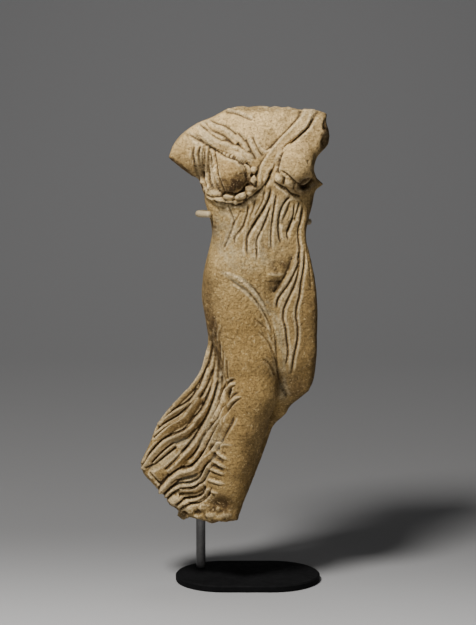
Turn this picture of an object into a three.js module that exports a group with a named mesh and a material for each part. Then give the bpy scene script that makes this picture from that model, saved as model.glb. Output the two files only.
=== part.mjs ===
// A broken terracotta statuette of a draped woman, held at the waist by its display mount.
// Millimetres, +Z up, the figure faces -Y. The origin is the middle of the foot plate's underside.
import * as THREE from "three";

const { clamp, degToRad, lerp, smoothstep } = THREE.MathUtils;

// Driving sizes of the mount
const PLATE = { width: 62, depth: 42, thickness: 3, corner: 20.4, bevel: 0.6 };
const ROD = { radius: 2, sides: 10, steps: 20 };
const CRADLE = { radius: 1.35, sides: 8, steps: 32, high: 161.5, low: 155.8 };
const CLEARANCE = 0.6;

// The figure's mesh: rings up its body and fans of rings that close it below and above
const COLUMNS = 64;
const RINGS = { low: 7, body: 48, top: 11 };

// The figure is laid out on a front view: u to the right and v up, in millimetres at the figure's
// own distance, as it is seen from VIEW.distance away and VIEW.tilt above the level.
const VIEW = { distance: 1200, tilt: degToRad(10), u: -4.2, v: 111.3, z: 118.6 };
// The figure's middle plane stands this far from the middle of the plate.
const FIGURE_Y = -10;
const FORWARD = new THREE.Vector3(0, Math.cos(VIEW.tilt), -Math.sin(VIEW.tilt));
const UPWARD = new THREE.Vector3(0, Math.sin(VIEW.tilt), Math.cos(VIEW.tilt));
const EYE = new THREE.Vector3(VIEW.u, FIGURE_Y, VIEW.z).addScaledVector(FORWARD, -VIEW.distance);

// The outline on the front view, clockwise from the neck: a smooth curve through each stretch.
const OUTLINE = {
  neck: [
    [-10.5, 196], [-6, 197.4], [2, 198.3], [12, 198], [18, 197.2], [22, 196.3], [28, 196.3], [33.4, 195.1],
  ],
  leftShoulderBreak: [[33.4, 195.1], [32.8, 191.5], [34, 187], [33.6, 182], [31.2, 179.2]],
  leftFlank: [[31.2, 179.2], [29, 176.6], [27.7, 171], [29.4, 167.7], [31.6, 165.2]],
  leftSide: [
    [31.6, 165.2], [28.2, 161.8], [26.8, 156], [24.8, 148.6], [24.2, 142.6], [26, 134.6], [28.2, 123.6],
    [29.3, 108], [28.9, 94], [27.4, 83], [25.4, 78.4],
  ],
  leftShin: [
    [25.4, 78.4], [22, 75.6], [17.6, 72], [15.6, 68.7], [10.6, 63.9], [7.6, 56], [1.8, 40.3], [-2.6, 29.4],
    [-5.2, 22.7],
  ],
  ankleBreak: [[-5.2, 22.7], [-9, 23.4], [-14, 23], [-18.6, 24.3], [-22, 24.8], [-24.4, 25.6], [-27, 24.2]],
  hemBreak: [
    [-27, 24.2], [-30.2, 26.4], [-33.4, 30.4], [-34, 33.2], [-37, 36.2], [-39.4, 38.8], [-41.6, 41.2],
    [-43.9, 44], [-45, 48.2],
  ],
  trailingEdge: [
    [-45, 48.2], [-43.2, 52.2], [-41, 57], [-38.4, 63.6], [-34, 70], [-28.6, 75.8], [-23.6, 81],
    [-19.6, 87.6], [-17, 96.6], [-16.7, 101.4],
  ],
  rightSide: [
    [-16.7, 101.4], [-18.2, 111], [-19.3, 118], [-18.6, 128], [-16.6, 137.4], [-15, 144.6], [-15.8, 150.4],
    [-17.9, 157.6], [-18.3, 161],
  ],
  underRightArm: [[-18.3, 161], [-21.4, 166.6], [-28, 172], [-33.2, 176.4]],
  rightShoulder: [[-33.2, 176.4], [-31.6, 181], [-28, 186], [-21, 190.9], [-14, 194], [-10.5, 196]],
};
const OUTLINE_SOFT = 1.6;

// The body's round forms: the point of the front view, the depth y, the radii and how softly each
// joins the rest.
const BALLS = {
  ribs: { at: [4.5, 166, 1], radii: [24.5, 14.5, 32], soft: 6 },
  waist: { at: [4.5, 146, 1], radii: [21.5, 12.8, 27], soft: 6 },
  neckBase: { at: [6, 189, 3], radii: [19, 12, 13], soft: 6 },
  belly: { at: [6, 134, -3.6], radii: [16, 11.5, 14], soft: 6 },
  lowBelly: { at: [11, 129, -8.4], radii: [7, 7.4, 7.6], soft: 2.5 },
  hips: { at: [4.5, 119, 3], radii: [25.5, 15.5, 24], soft: 7 },
  rightBreast: { at: [-6.4, 169.6, -9.6], radii: [8, 9, 9], soft: 1.2 },
  leftBreast: { at: [19.6, 173, -9.2], radii: [8.4, 9.4, 8.8], soft: 1.2 },
  rightButtock: { at: [-6, 117, 9], radii: [13, 10.5, 14], soft: 6 },
  leftButtock: { at: [16, 114, 8], radii: [12, 10.5, 14], soft: 6 },
};

// Limbs run through points [u, v, y, radius]. flat is the depth of the section over its width.
const LIMBS = {
  shoulders: { flat: 0.95, soft: 6, way: [[-20, 182, 3, 10], [4, 185, 4, 13], [27, 186, 3, 11]] },
  rightArm: { flat: 1, soft: 4, way: [[-18, 181, 2, 9.5], [-27, 176.5, 2, 9], [-34, 171, 2, 8]] },
  sideFlap: { flat: 1.2, soft: 2, way: [[22, 166, 3, 4.2], [32.5, 165, 5, 1.6]] },
  rightThigh: {
    flat: 0.88, soft: 5,
    way: [[-3, 124, -2.4, 17.2], [-3.4, 110, -5.6, 15.2], [1.2, 92, -9.2, 12.6], [2, 77, -11, 9.8]],
  },
  rightShank: {
    flat: 1.05, soft: 4,
    way: [
      [2, 78, -11, 9.4], [-1.4, 64, -9.2, 9.2], [-5.6, 50, -6.6, 9], [-8, 40, -4.6, 8.6],
      [-10, 28, -2.5, 7.8],
      [-12, 16, -1, 7.4],
    ],
  },
  leftThigh: {
    flat: 1, soft: 4,
    way: [[14, 128, 2, 14], [17, 108, 0, 12], [18.4, 95, 0, 11], [19.6, 85, 1, 9.6]],
  },
  leftThighFront: {
    flat: 0.5, soft: 4,
    way: [[17, 128, -7, 11], [18.4, 112, -8, 11.5], [18.4, 96, -8, 11], [18.6, 84, -5, 9]],
  },
  clothOverLeftHip: {
    flat: 0.6, soft: 4,
    way: [[20.5, 146, -4, 6], [20.5, 134, -6.5, 8.4], [20, 120, -7.5, 9.4]],
  },
  leftShank: {
    flat: 1, soft: 4,
    way: [
      [19.6, 85, 2, 9], [14.5, 76, 6, 9], [5, 62, 9, 8.6], [-4.6, 46, 9, 8.6], [-11, 28, 7, 8],
      [-13, 16, 6, 7.6],
    ],
  },
  clothBetween: {
    flat: 1, soft: 3,
    way: [
      [-16, 22, 2, 8], [-13, 50, 1, 8], [-7, 66, 0, 8], [2, 80, -1.5, 8], [9, 92, -5, 7.4],
      [9.6, 104, -6, 8.6],
      [7, 117, -1.5, 10.5],
    ],
  },
  trailingCloth: {
    flat: 0.5, soft: 4,
    way: [
      [-8, 106, 4, 11], [-12.5, 93, 4, 10.5], [-18, 80, 5, 12], [-23, 68, 6, 16], [-28, 54, 6, 20.5],
      [-28, 44, 5, 20], [-25, 32, 4, 15], [-23, 18, 4, 12],
    ],
  },
};

// The breaks are nearly flat cuts: a point on each, its outward normal, how far it reaches and how
// uneven it is.
const BREAKS = {
  neck: { at: [5, 196.4, -4], normal: [0, 0.02, 1], reach: 60, rough: 0.25 },
  rightArm: { at: [-31, 174.6, -3], normal: [-0.6, -0.24, -0.76], reach: 15, rough: 0.3 },
  leftShoulder: { at: [32, 187, -5], normal: [0.94, -0.3, -0.12], reach: 18, rough: 0.5 },
  hem: { at: [-38, 36.6, 0], normal: [-0.68, -0.1, -0.72], reach: 18, rough: 0.5 },
  ankle: { at: [-14, 23.8, -4], normal: [0.04, -0.22, -0.97], reach: 40, rough: 0.5 },
};

// The rays that find the surface start on a flat core, which each ring crosses from its left end
// to its right end: pairs of points [u, v, y], from the lowest ring to the highest.
const CORE = [
  [[-28, 39, 4.5], [-10, 33, 0]],
  [[-30, 48, 4.5], [-6, 43, -1]],
  [[-26, 62, 4.5], [-1, 57, -2]],
  [[-17, 74, 4], [7, 71, -1]],
  [[-11, 85, 2], [15, 85, -1]],
  [[-8, 108, 1], [17, 108, 0]],
  [[-6, 134, 0], [15, 134, 0]],
  [[-5, 150, 1], [15, 150, 1]],
  [[-8, 165, 2], [17, 165, 2]],
  [[-15, 176, 3], [19, 178, 3]],
  [[-20, 182, 3], [23, 187, 3]],
];

// Carved lines on the front. height is how far a line stands up, or is cut in where it is negative.
const CARVED_LINES = [
  // The strap over the left shoulder, the hollow beside it and the line that crosses below
  { width: 3, height: 1.3, way: [[25.6, 195.5], [20, 188], [14, 181.5], [9, 175], [6.2, 169], [3.6, 163]] },
  {
    width: 1.7, height: -1.1,
    way: [[28.5, 194.5], [25.5, 189.5], [20.5, 185.6], [15.5, 181], [12.8, 174.5], [11.9, 170.5]],
  },
  {
    width: 1.6, height: -1.2,
    way: [[9.3, 170], [7, 166], [3.5, 161.8], [-1, 157.6], [-6, 156.2], [-12, 157.6]],
  },
  // The neckline and the folds below it
  { width: 2, height: 0.6, way: [[-20.5, 190], [-15, 185.4], [-8, 181.6], [0, 177.2], [4.5, 174.4]] },
  { width: 2, height: 0.7, way: [[-26, 186.5], [-19, 182.6], [-12, 179.4], [-4, 176.6], [2, 173.2]] },
  // Folds beside the right armpit
  { width: 1.8, height: -0.8, way: [[-22, 181], [-20.8, 175], [-19, 169], [-16, 162.4]] },
  { width: 1.8, height: -0.7, way: [[-17, 180], [-16.4, 173], [-14.4, 168], [-11, 162.6]] },
  // Gathered cloth under both breasts
  {
    width: 2.3, height: 1.8,
    way: [[-17.6, 160.8], [-11, 159.9], [-5.5, 159.4], [0, 161.4], [2.6, 165], [2.8, 170.6]],
  },
  { width: 2.3, height: 1.8, way: [[12.6, 169.4], [14.6, 166.4], [18.6, 164.6], [23, 162.4]] },
  { width: 1.6, height: -1.2, way: [[9.5, 168], [13, 164.6], [17.5, 161.2], [23, 159.4]] },
  // The right thigh's edge beside the cloth between the legs
  {
    width: 2, height: -0.8,
    way: [[-2, 124.4], [3, 119], [7, 113], [10, 105], [12, 95], [13, 85], [16, 75.6]],
  },
];

// Sets of such lines, spread evenly from the first guide to the second.
const CARVED_SETS = [
  // Over the ribs and the belly
  {
    count: 3, width: 1.6, height: -0.9,
    from: [[-9.4, 156], [-6.6, 151.5], [-8.4, 142.5]],
    to: [[2.6, 158.6], [1.4, 150], [-0.6, 137.5]],
  },
  {
    count: 3, width: 1.6, height: -1.2,
    from: [[7.6, 163.6], [4.6, 153.4], [-0.2, 144.6], [-0.6, 136.6]],
    to: [[12.2, 161], [11, 152.4], [10, 144], [10, 136]],
  },
  {
    count: 4, width: 1.6, height: -1.2,
    from: [[17.4, 159.4], [14.2, 154.4], [13.2, 148], [14.2, 142]],
    to: [[25, 158], [23.8, 151], [21.6, 144.4], [21.2, 139]],
  },
  // From the left hip down the thigh
  {
    count: 2, width: 1.8, height: -1.2,
    from: [[19, 136], [17.2, 130], [13.6, 123.4], [12.4, 116]],
    to: [[21.6, 139], [20, 132], [15.6, 123], [12.8, 114]],
  },
  {
    count: 2, width: 1.6, height: -1.1,
    from: [[22.5, 139], [20.4, 127], [16, 117.6], [15, 108], [16.8, 97], [16, 88.6]],
    to: [[23.8, 142], [23, 128], [20.8, 114.6], [20.8, 104], [19.6, 94], [17.6, 82.6]],
  },
  // Pulled over the right thigh from the hip
  {
    count: 2, width: 2.2, height: 0.7,
    from: [[-11, 128.6], [-4, 125.4], [4, 118.6], [10, 110]],
    to: [[-7, 123], [-1, 119.4], [5, 112.4], [9, 105]],
  },
  // The trailing cloth, from its outer edge to the long folds below the knee
  {
    count: 3, width: 2, height: 1.3,
    from: [[-18.4, 84], [-20.6, 77.4], [-25, 73], [-30.4, 70], [-35.2, 65.8]],
    to: [[-16.8, 74.5], [-20, 68], [-24, 63.6], [-31, 59.4], [-37, 55.4], [-42, 49.6]],
  },
  {
    count: 2, width: 2, height: 1.3,
    from: [[-15, 78.5], [-17.6, 70], [-21.4, 59.6], [-26, 53.4], [-33, 49.2], [-40, 45]],
    to: [[-11, 78], [-14.4, 69], [-18.6, 60.6], [-21.8, 53], [-26.8, 47.4], [-34, 43.6]],
  },
  {
    count: 2, width: 2, height: 1.4,
    from: [[-6, 81], [-9.2, 77], [-12.8, 70], [-17, 60.8], [-19.4, 54.5]],
    to: [[-4, 74.6], [-8, 70.6], [-12.6, 61.6], [-16.6, 54], [-21.8, 46.8], [-28, 43.6], [-37, 36.8]],
  },
  {
    count: 2, width: 2, height: 1.4,
    from: [[-13.6, 54.6], [-16.8, 48.8], [-19.6, 41.6], [-24.6, 38.8], [-30, 37.4], [-34.4, 35.4]],
    to: [[-17, 37.6], [-19, 34.4], [-23.6, 32.4], [-28, 31.2], [-31, 29]],
  },
  // Short folds across the right shank
  {
    count: 4, width: 1.7, height: 0.7,
    from: [[-12.4, 55.6], [-8.6, 55.8], [-5, 54.6]],
    to: [[-17, 36.4], [-13.6, 36.2], [-10.6, 35]],
  },
];

// Plainer folds on the back, on the same view.
const BACK_SETS = [
  {
    count: 5, width: 3, height: -0.9,
    from: [[-14, 156], [-12, 140], [-15, 118], [-14, 96]],
    to: [[22, 156], [22, 140], [24, 118], [24, 90]],
  },
  {
    count: 4, width: 3.2, height: -1.1,
    from: [[-14, 92], [-19, 78], [-30, 62], [-38, 50]],
    to: [[12, 90], [4, 68], [-6, 48], [-12, 30]],
  },
];

// The rod's line, [x, y, z], from the plate to just under the cradle.
const ROD_WAY = [
  [-20.3, 10, PLATE.thickness], [-20.3, 10, 24], [-20.3, 10, 48], [-18, 10.4, 66], [-10.4, 11.4, 92],
  [-3, 12.6, 116], [2.6, 11.6, 139], [4.4, 7.4, 155.4],
];

// The cradle's line round the back of the waist: the angle from the front, and how far it stands
// off the figure there. It slopes evenly down from CRADLE.high to CRADLE.low.
const CRADLE_WAY = [
  [-64, 0], [-76, 0.9], [-88, 2.2], [-101, 1.9], [-116, 0.6], [-140, 0], [-165, 0], [170, 0],
  [145, 0], [124, 0], [107, 0],
];
// The axis of the waist, which the cradle goes round.
const WAIST = { x: 4.5, y: 1 + FIGURE_Y };

// The point of the front view where p is seen.
function seen(p) {
  const q = p.clone().sub(EYE);
  const scale = VIEW.distance / q.dot(FORWARD);
  return [VIEW.u + q.x * scale, VIEW.v + q.dot(UPWARD) * scale];
}

// The point that is seen at (u, v) and lies y behind the figure's middle plane.
function place([u, v, y]) {
  const ray = FORWARD.clone().multiplyScalar(VIEW.distance);
  ray.addScaledVector(UPWARD, v - VIEW.v);
  ray.x += u - VIEW.u;
  return EYE.clone().addScaledVector(ray, (y + FIGURE_Y - EYE.y) / ray.y);
}

// Smooth union and intersection of two distances.
function softMin(a, b, soft) {
  const h = Math.max(soft - Math.abs(a - b), 0) / soft;
  return Math.min(a, b) - (h * h * soft) / 4;
}
const softMax = (a, b, soft) => -softMin(-a, -b, soft);

// A smooth line through points of the front view, in short straight steps.
function smoothLine(way, steps) {
  const points = way.map(([u, v]) => new THREE.Vector3(u, v, 0));
  const curve = new THREE.CatmullRomCurve3(points, false, "centripetal");
  return curve.getPoints(steps * (way.length - 1)).map((q) => [q.x, q.y]);
}

// How far (u, v) is from the step from a to b, and which share of the step is nearest.
function nearStep(u, v, [au, av], [bu, bv]) {
  const du = bu - au;
  const dv = bv - av;
  const share = clamp(((u - au) * du + (v - av) * dv) / (du * du + dv * dv), 0, 1);
  return [Math.hypot(u - au - share * du, v - av - share * dv), share];
}

const OUTLINE_LOOP = Object.values(OUTLINE).flatMap((way) => smoothLine(way, 4).slice(0, -1));

// How far (u, v) is outside the outline, or inside where it is negative.
function outlineDistance(u, v) {
  let nearest = Infinity;
  let inside = false;
  for (let i = 0; i < OUTLINE_LOOP.length; i++) {
    const a = OUTLINE_LOOP[i];
    const b = OUTLINE_LOOP[(i + 1) % OUTLINE_LOOP.length];
    nearest = Math.min(nearest, nearStep(u, v, a, b)[0]);
    const crosses = a[1] > v !== b[1] > v;
    if (crosses && u < a[0] + ((v - a[1]) * (b[0] - a[0])) / (b[1] - a[1])) inside = !inside;
  }
  return inside ? -nearest : nearest;
}

// Nearly the distance from p to an ellipsoid.
function ballDistance(p, { centre, radii: [a, b, c] }) {
  const q = p.clone().sub(centre);
  const near = Math.hypot(q.x / a, q.y / b, q.z / c);
  const steep = Math.hypot(q.x / (a * a), q.y / (b * b), q.z / (c * c));
  return (near * (near - 1)) / Math.max(steep, 1e-6);
}

// Nearly the distance from p to a limb: a chain of round cones, squeezed in depth.
function limbDistance(p, { joints, flat }) {
  const q = new THREE.Vector3(p.x, p.y / flat, p.z);
  let nearest = Infinity;
  for (let i = 1; i < joints.length; i++) {
    const a = joints[i - 1];
    const b = joints[i];
    const along = b.at.clone().sub(a.at);
    const share = clamp(q.clone().sub(a.at).dot(along) / along.lengthSq(), 0, 1);
    const centre = a.at.clone().addScaledVector(along, share);
    nearest = softMin(nearest, q.distanceTo(centre) - lerp(a.radius, b.radius, share), 2);
  }
  return nearest * Math.min(1, flat);
}

for (const ball of Object.values(BALLS)) ball.centre = place(ball.at);
for (const limb of Object.values(LIMBS)) {
  limb.joints = limb.way.map(([u, v, y, radius]) => ({ at: place([u, v, y]), radius }));
  for (const joint of limb.joints) joint.at.y /= limb.flat;
}
for (const cut of Object.values(BREAKS)) {
  cut.point = place(cut.at);
  cut.outward = new THREE.Vector3(...cut.normal).normalize();
}

// A low, bumpy field for the broken faces, between about -1 and 1.
function bumps({ x, y, z }) {
  const coarse = Math.sin(0.71 * x + 1.3) * Math.sin(0.83 * y + 0.4) + Math.sin(0.62 * z + 0.9 * x);
  const fine = Math.sin(1.7 * x - 1.1 * z) * Math.sin(1.9 * y + 1.2 * z + 0.6);
  return 0.4 * coarse + 0.35 * fine;
}

// Nearly the distance from p to the figure before its carving.
function figureDistance(p) {
  let d = Infinity;
  for (const ball of Object.values(BALLS)) d = softMin(d, ballDistance(p, ball), ball.soft);
  for (const limb of Object.values(LIMBS)) d = softMin(d, limbDistance(p, limb), limb.soft);
  d = softMax(d, outlineDistance(...seen(p)), OUTLINE_SOFT);
  for (const cut of Object.values(BREAKS)) {
    const from = p.clone().sub(cut.point);
    const above = from.dot(cut.outward) + cut.rough * bumps(p);
    d = softMax(d, Math.min(above, cut.reach - from.length()), 0.6);
  }
  return d;
}

// Lines spread evenly between a set's two guides.
function spreadLines({ count, width, height, from, to }) {
  const steps = 24;
  const guides = [from, to].map((way) => {
    const points = way.map(([u, v]) => new THREE.Vector3(u, v, 0));
    return new THREE.CatmullRomCurve3(points, false, "centripetal").getSpacedPoints(steps);
  });
  return Array.from({ length: count }, (_, k) => {
    const share = k / (count - 1);
    const line = guides[0].map((a, i) => a.clone().lerp(guides[1][i], share)).map((q) => [q.x, q.y]);
    return { line, width, height };
  });
}

const FRONT_LINES = [
  ...CARVED_LINES.map(({ width, height, way }) => ({ line: smoothLine(way, 6), width, height })),
  ...CARVED_SETS.flatMap(spreadLines),
];
const BACK_LINES = BACK_SETS.flatMap(spreadLines);

// How far the lines move the surface out at (u, v). A line fades in and out at its ends.
function carvedHeight(lines, u, v) {
  let height = 0;
  for (const { line, width, height: peak } of lines) {
    let nearest = Infinity;
    let along = 0;
    for (let i = 1; i < line.length; i++) {
      const [d, share] = nearStep(u, v, line[i - 1], line[i]);
      if (d < nearest) {
        nearest = d;
        along = (i - 1 + share) / (line.length - 1);
      }
    }
    const ends = smoothstep(along, 0, 0.12) * (1 - smoothstep(along, 0.88, 1));
    height += peak * ends * Math.exp(-((nearest / width) ** 2));
  }
  return height;
}

// Walks in along a ray, from well outside, until it meets the figure.
function surfaceAlong(start, direction) {
  const p = new THREE.Vector3();
  let reach = 75;
  for (let i = 0; i < 90; i++) {
    p.copy(start).addScaledVector(direction, reach);
    const d = figureDistance(p);
    if (Math.abs(d) < 0.01) break;
    reach -= 0.7 * d;
  }
  return p;
}

// The core's pairs: the middle, the way from there to the right end and how far along it lies.
const CORE_STEPS = CORE.map((pair) => pair.map(place)).map(([left, right]) => ({
  middle: left.clone().add(right).multiplyScalar(0.5),
  half: right.clone().sub(left).multiplyScalar(0.5),
}));
CORE_STEPS.forEach((step, i) => {
  const before = CORE_STEPS[i - 1];
  step.along = before ? before.along + step.middle.distanceTo(before.middle) : 0;
});

// The core at a share of its length.
function coreAt(share) {
  const wanted = share * CORE_STEPS.at(-1).along;
  const next = Math.max(1, CORE_STEPS.findIndex((step) => step.along >= wanted));
  const [a, b] = [CORE_STEPS[next - 1], CORE_STEPS[next]];
  const part = (wanted - a.along) / (b.along - a.along);
  return { middle: a.middle.clone().lerp(b.middle, part), half: a.half.clone().lerp(b.half, part) };
}

// The direction of a ray: its angle round from the front and its lift above the level.
function rayDirection(angle, lift) {
  const level = Math.cos(lift);
  return new THREE.Vector3(level * Math.sin(angle), -level * Math.cos(angle), Math.sin(lift));
}

// A ring's points, evenly spaced along it, but closer together on the front than on the back.
function ring({ middle, half }, lift) {
  const tries = 120;
  const angleOf = (i) => ((i + 0.5) / tries) * 2 * Math.PI - Math.PI;
  const touch = (i) => {
    const start = middle.clone().addScaledVector(half, Math.sin(angleOf(i)) * Math.cos(lift));
    return surfaceAlong(start, rayDirection(angleOf(i), lift));
  };
  const coarse = Array.from({ length: tries }, (_, i) => touch(i));
  const lengths = [0];
  for (let i = 0; i < tries; i++) {
    const step = coarse[i].distanceTo(coarse[(i + 1) % tries]);
    const weight = lerp(0.35, 1, smoothstep(Math.cos(angleOf(i + 0.5)), -0.5, 0.3));
    lengths.push(lengths[i] + step * weight);
  }
  return Array.from({ length: COLUMNS }, (_, j) => {
    const wanted = (lengths[tries] * (j + 0.5)) / COLUMNS;
    const i = lengths.findIndex((length) => length > wanted) - 1;
    return touch(i + (wanted - lengths[i]) / (lengths[i + 1] - lengths[i]));
  });
}

// Moves a point of the surface out along its normal by the carving of the side that it faces.
function carve(p, normal) {
  const facing = -normal.dot(FORWARD);
  const front = smoothstep(facing, 0.05, 0.45);
  const back = smoothstep(-facing, 0.05, 0.45);
  const [u, v] = seen(p);
  if (front > 0) return front * carvedHeight(FRONT_LINES, u, v);
  if (back > 0) return back * carvedHeight(BACK_LINES, u, v);
  return 0;
}

function normalAt(p) {
  const e = 0.4;
  const depthAt = (axis, step) => figureDistance(p.clone().addScaledVector(axis, step));
  const slope = (axis) => depthAt(axis, e) - depthAt(axis, -e);
  const [x, y, z] = [[1, 0, 0], [0, 1, 0], [0, 0, 1]].map((axis) => slope(new THREE.Vector3(...axis)));
  return new THREE.Vector3(x, y, z).normalize();
}

function carved(p) {
  const normal = normalAt(p);
  return p.clone().addScaledVector(normal, carve(p, normal));
}

function figureGeometry() {
  const bottom = coreAt(0);
  const top = coreAt(1);
  const quarter = Math.PI / 2;
  const rings = [];
  for (let i = 1; i <= RINGS.low; i++) rings.push(ring(bottom, quarter * (i / (RINGS.low + 1) - 1)));
  for (let i = 0; i < RINGS.body; i++) rings.push(ring(coreAt(i / (RINGS.body - 1)), 0));
  for (let i = 1; i <= RINGS.top; i++) rings.push(ring(top, (quarter * i) / (RINGS.top + 1)));
  const poles = [
    surfaceAlong(bottom.middle, rayDirection(0, -quarter)),
    surfaceAlong(top.middle, rayDirection(0, quarter)),
  ];
  const points = [...rings.flat(), ...poles].map(carved);

  const at = (i, j) => i * COLUMNS + (j % COLUMNS);
  const [low, high] = [points.length - 2, points.length - 1];
  const faces = [];
  for (let j = 0; j < COLUMNS; j++) {
    faces.push(low, at(0, j + 1), at(0, j));
    faces.push(high, at(rings.length - 1, j), at(rings.length - 1, j + 1));
    for (let i = 0; i + 1 < rings.length; i++) {
      faces.push(...splitQuad(points, at(i, j), at(i, j + 1), at(i + 1, j + 1), at(i + 1, j)));
    }
  }
  const geometry = new THREE.BufferGeometry().setFromPoints(points);
  geometry.setIndex(faces);
  geometry.computeVertexNormals();
  return geometry;
}

// Splits the quad a, b, c, d along the diagonal that lies closer to the carved surface.
function splitQuad(points, a, b, c, d) {
  const centre = [a, b, c, d].reduce((sum, i) => sum.addScaledVector(points[i], 0.25), new THREE.Vector3());
  const across = (i, k) => points[i].clone().add(points[k]).multiplyScalar(0.5);
  const outward = points[c].clone().sub(points[a]).cross(points[d].clone().sub(points[b])).normalize();
  const front = smoothstep(-outward.dot(FORWARD), 0.05, 0.45);
  const corners = [a, b, c, d].map((i) => carvedHeight(FRONT_LINES, ...seen(points[i])));
  const middle = carvedHeight(FRONT_LINES, ...seen(centre)) - corners.reduce((x, y) => x + y) / 4;
  const wanted = front * middle;
  const rise = (i, k) => across(i, k).sub(centre).dot(outward);
  if (Math.abs(rise(a, c) - wanted) <= Math.abs(rise(b, d) - wanted)) return [a, b, c, a, c, d];
  return [a, b, d, b, c, d];
}

// A round bar along a curve.
function bar(curve, { radius, sides, steps }) {
  const section = new THREE.Shape();
  section.absarc(0, 0, radius, 0, 2 * Math.PI);
  const curveSegments = sides / 2;
  const settings = { steps, curveSegments, bevelEnabled: false, extrudePath: curve };
  return new THREE.ExtrudeGeometry(section, settings);
}

function rodGeometry() {
  const points = ROD_WAY.map((point) => new THREE.Vector3(...point));
  return bar(new THREE.CatmullRomCurve3(points, false, "centripetal"), ROD);
}

function cradleGeometry() {
  const points = CRADLE_WAY.map(([degrees, off], i) => {
    const height = lerp(CRADLE.high, CRADLE.low, i / (CRADLE_WAY.length - 1));
    const out = rayDirection(degToRad(degrees), 0);
    const touch = surfaceAlong(new THREE.Vector3(WAIST.x, WAIST.y, height), out);
    return touch.addScaledVector(out, CRADLE.radius + CLEARANCE + off);
  });
  return bar(new THREE.CatmullRomCurve3(points, false, "centripetal"), CRADLE);
}

function plateGeometry() {
  const { width, depth, thickness, corner, bevel } = PLATE;
  const x = width / 2 - bevel - corner;
  const y = depth / 2 - bevel - corner;
  const shape = new THREE.Shape();
  shape.absarc(x, y, corner, 0, Math.PI / 2);
  shape.absarc(-x, y, corner, Math.PI / 2, Math.PI);
  shape.absarc(-x, -y, corner, Math.PI, 1.5 * Math.PI);
  shape.absarc(x, -y, corner, 1.5 * Math.PI, 2 * Math.PI);
  const rim = { bevelSize: bevel, bevelThickness: bevel, bevelSegments: 1 };
  const settings = { depth: thickness - 2 * bevel, curveSegments: 8, ...rim };
  const geometry = new THREE.ExtrudeGeometry(shape, settings);
  return geometry.translate(0, 0, bevel);
}

function piece(name, geometry, color, roughness, metalness) {
  const mesh = new THREE.Mesh(geometry, new THREE.MeshStandardMaterial({ color, roughness, metalness }));
  mesh.name = name;
  return mesh;
}

const statue = new THREE.Group();
statue.add(piece("statuette", figureGeometry(), 0xb59a6e, 0.85, 0));
statue.add(piece("waist_cradle", cradleGeometry(), 0xb9a684, 0.6, 0));
statue.add(piece("support_rod", rodGeometry(), 0x6d6e72, 0.45, 0.7));
statue.add(piece("foot_plate", plateGeometry(), 0x1c1c1e, 0.6, 0.4));

export default statue;
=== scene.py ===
import math

import bpy
import numpy as np
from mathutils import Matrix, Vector


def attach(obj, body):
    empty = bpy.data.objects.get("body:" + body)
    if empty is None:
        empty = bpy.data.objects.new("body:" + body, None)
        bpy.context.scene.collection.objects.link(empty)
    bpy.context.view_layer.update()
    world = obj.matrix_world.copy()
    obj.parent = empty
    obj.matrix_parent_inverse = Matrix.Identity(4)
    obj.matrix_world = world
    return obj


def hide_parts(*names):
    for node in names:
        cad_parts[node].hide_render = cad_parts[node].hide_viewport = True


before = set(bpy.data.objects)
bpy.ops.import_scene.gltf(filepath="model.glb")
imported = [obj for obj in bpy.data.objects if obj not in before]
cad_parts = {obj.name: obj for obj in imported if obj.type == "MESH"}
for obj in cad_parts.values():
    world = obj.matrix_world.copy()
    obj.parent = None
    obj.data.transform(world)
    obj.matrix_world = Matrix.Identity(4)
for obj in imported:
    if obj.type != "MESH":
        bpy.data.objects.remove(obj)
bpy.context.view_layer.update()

# Shapes and places are in millimetres, which MM turns into metres. Materials measure in metres.
MM = 0.001

# The front view: u to the right and v up, at the figure's own distance, as it is seen from
# DISTANCE away and TILT above the level. The camera looks at the point (VIEW_U, VIEW_V), which is
# VIEW_Z high, and sees FRAME_HEIGHT there from top to bottom.
DISTANCE = 1200.0
TILT = math.radians(10)
VIEW_U, VIEW_V, VIEW_Z = -4.2, 111.3, 118.6
FRAME_HEIGHT = 262.5
# The figure's middle plane stands this far from the middle of the plate.
FIGURE_Y = -10.0
FORWARD = np.array([0, math.cos(TILT), -math.sin(TILT)])
UPWARD = np.array([0, math.sin(TILT), math.cos(TILT)])
EYE = np.array([VIEW_U, FIGURE_Y, VIEW_Z]) - DISTANCE * FORWARD

# The figure's mesh: rings up its body and fans of rings that close it below and above. A column
# on the back is wider than one on the front, as BACK_SHARE says. The surface is first found at
# TRIES angles of every third ring, from START_REACH away, and then in each column of every ring,
# from STAND_OFF outside what was found.
COLUMNS = 240
LOW_RINGS, BODY_RINGS, TOP_RINGS = 40, 328, 44
BACK_SHARE = 0.22
TRIES = 120
START_REACH, STAND_OFF = 75.0, 3

ROD_RADIUS, ROD_POINTS, ROD_SIDES = 2.0, 120, 32
CRADLE_RADIUS, CRADLE_POINTS, CRADLE_SIDES = 1.35, 160, 24
# The cradle's length, roughly, which its round tips go by, and how far it stands off the figure.
CRADLE_LENGTH, CLEARANCE = 100, 0.6

# How far the marching ray goes of the distance left to the figure, how near is near enough, and
# the most steps it takes.
RAY_PACE, RAY_END, RAY_STEPS = 0.7, 0.01, 90
# How many straight pieces stand for the curve from one point of a line to the next.
OUTLINE_PIECES, STROKE_PIECES, BAR_PIECES = 4, 5, 16
# How often the relief is blurred to tell fine, middling and wide hollows.
BLURS = (4, 10, 50)

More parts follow.
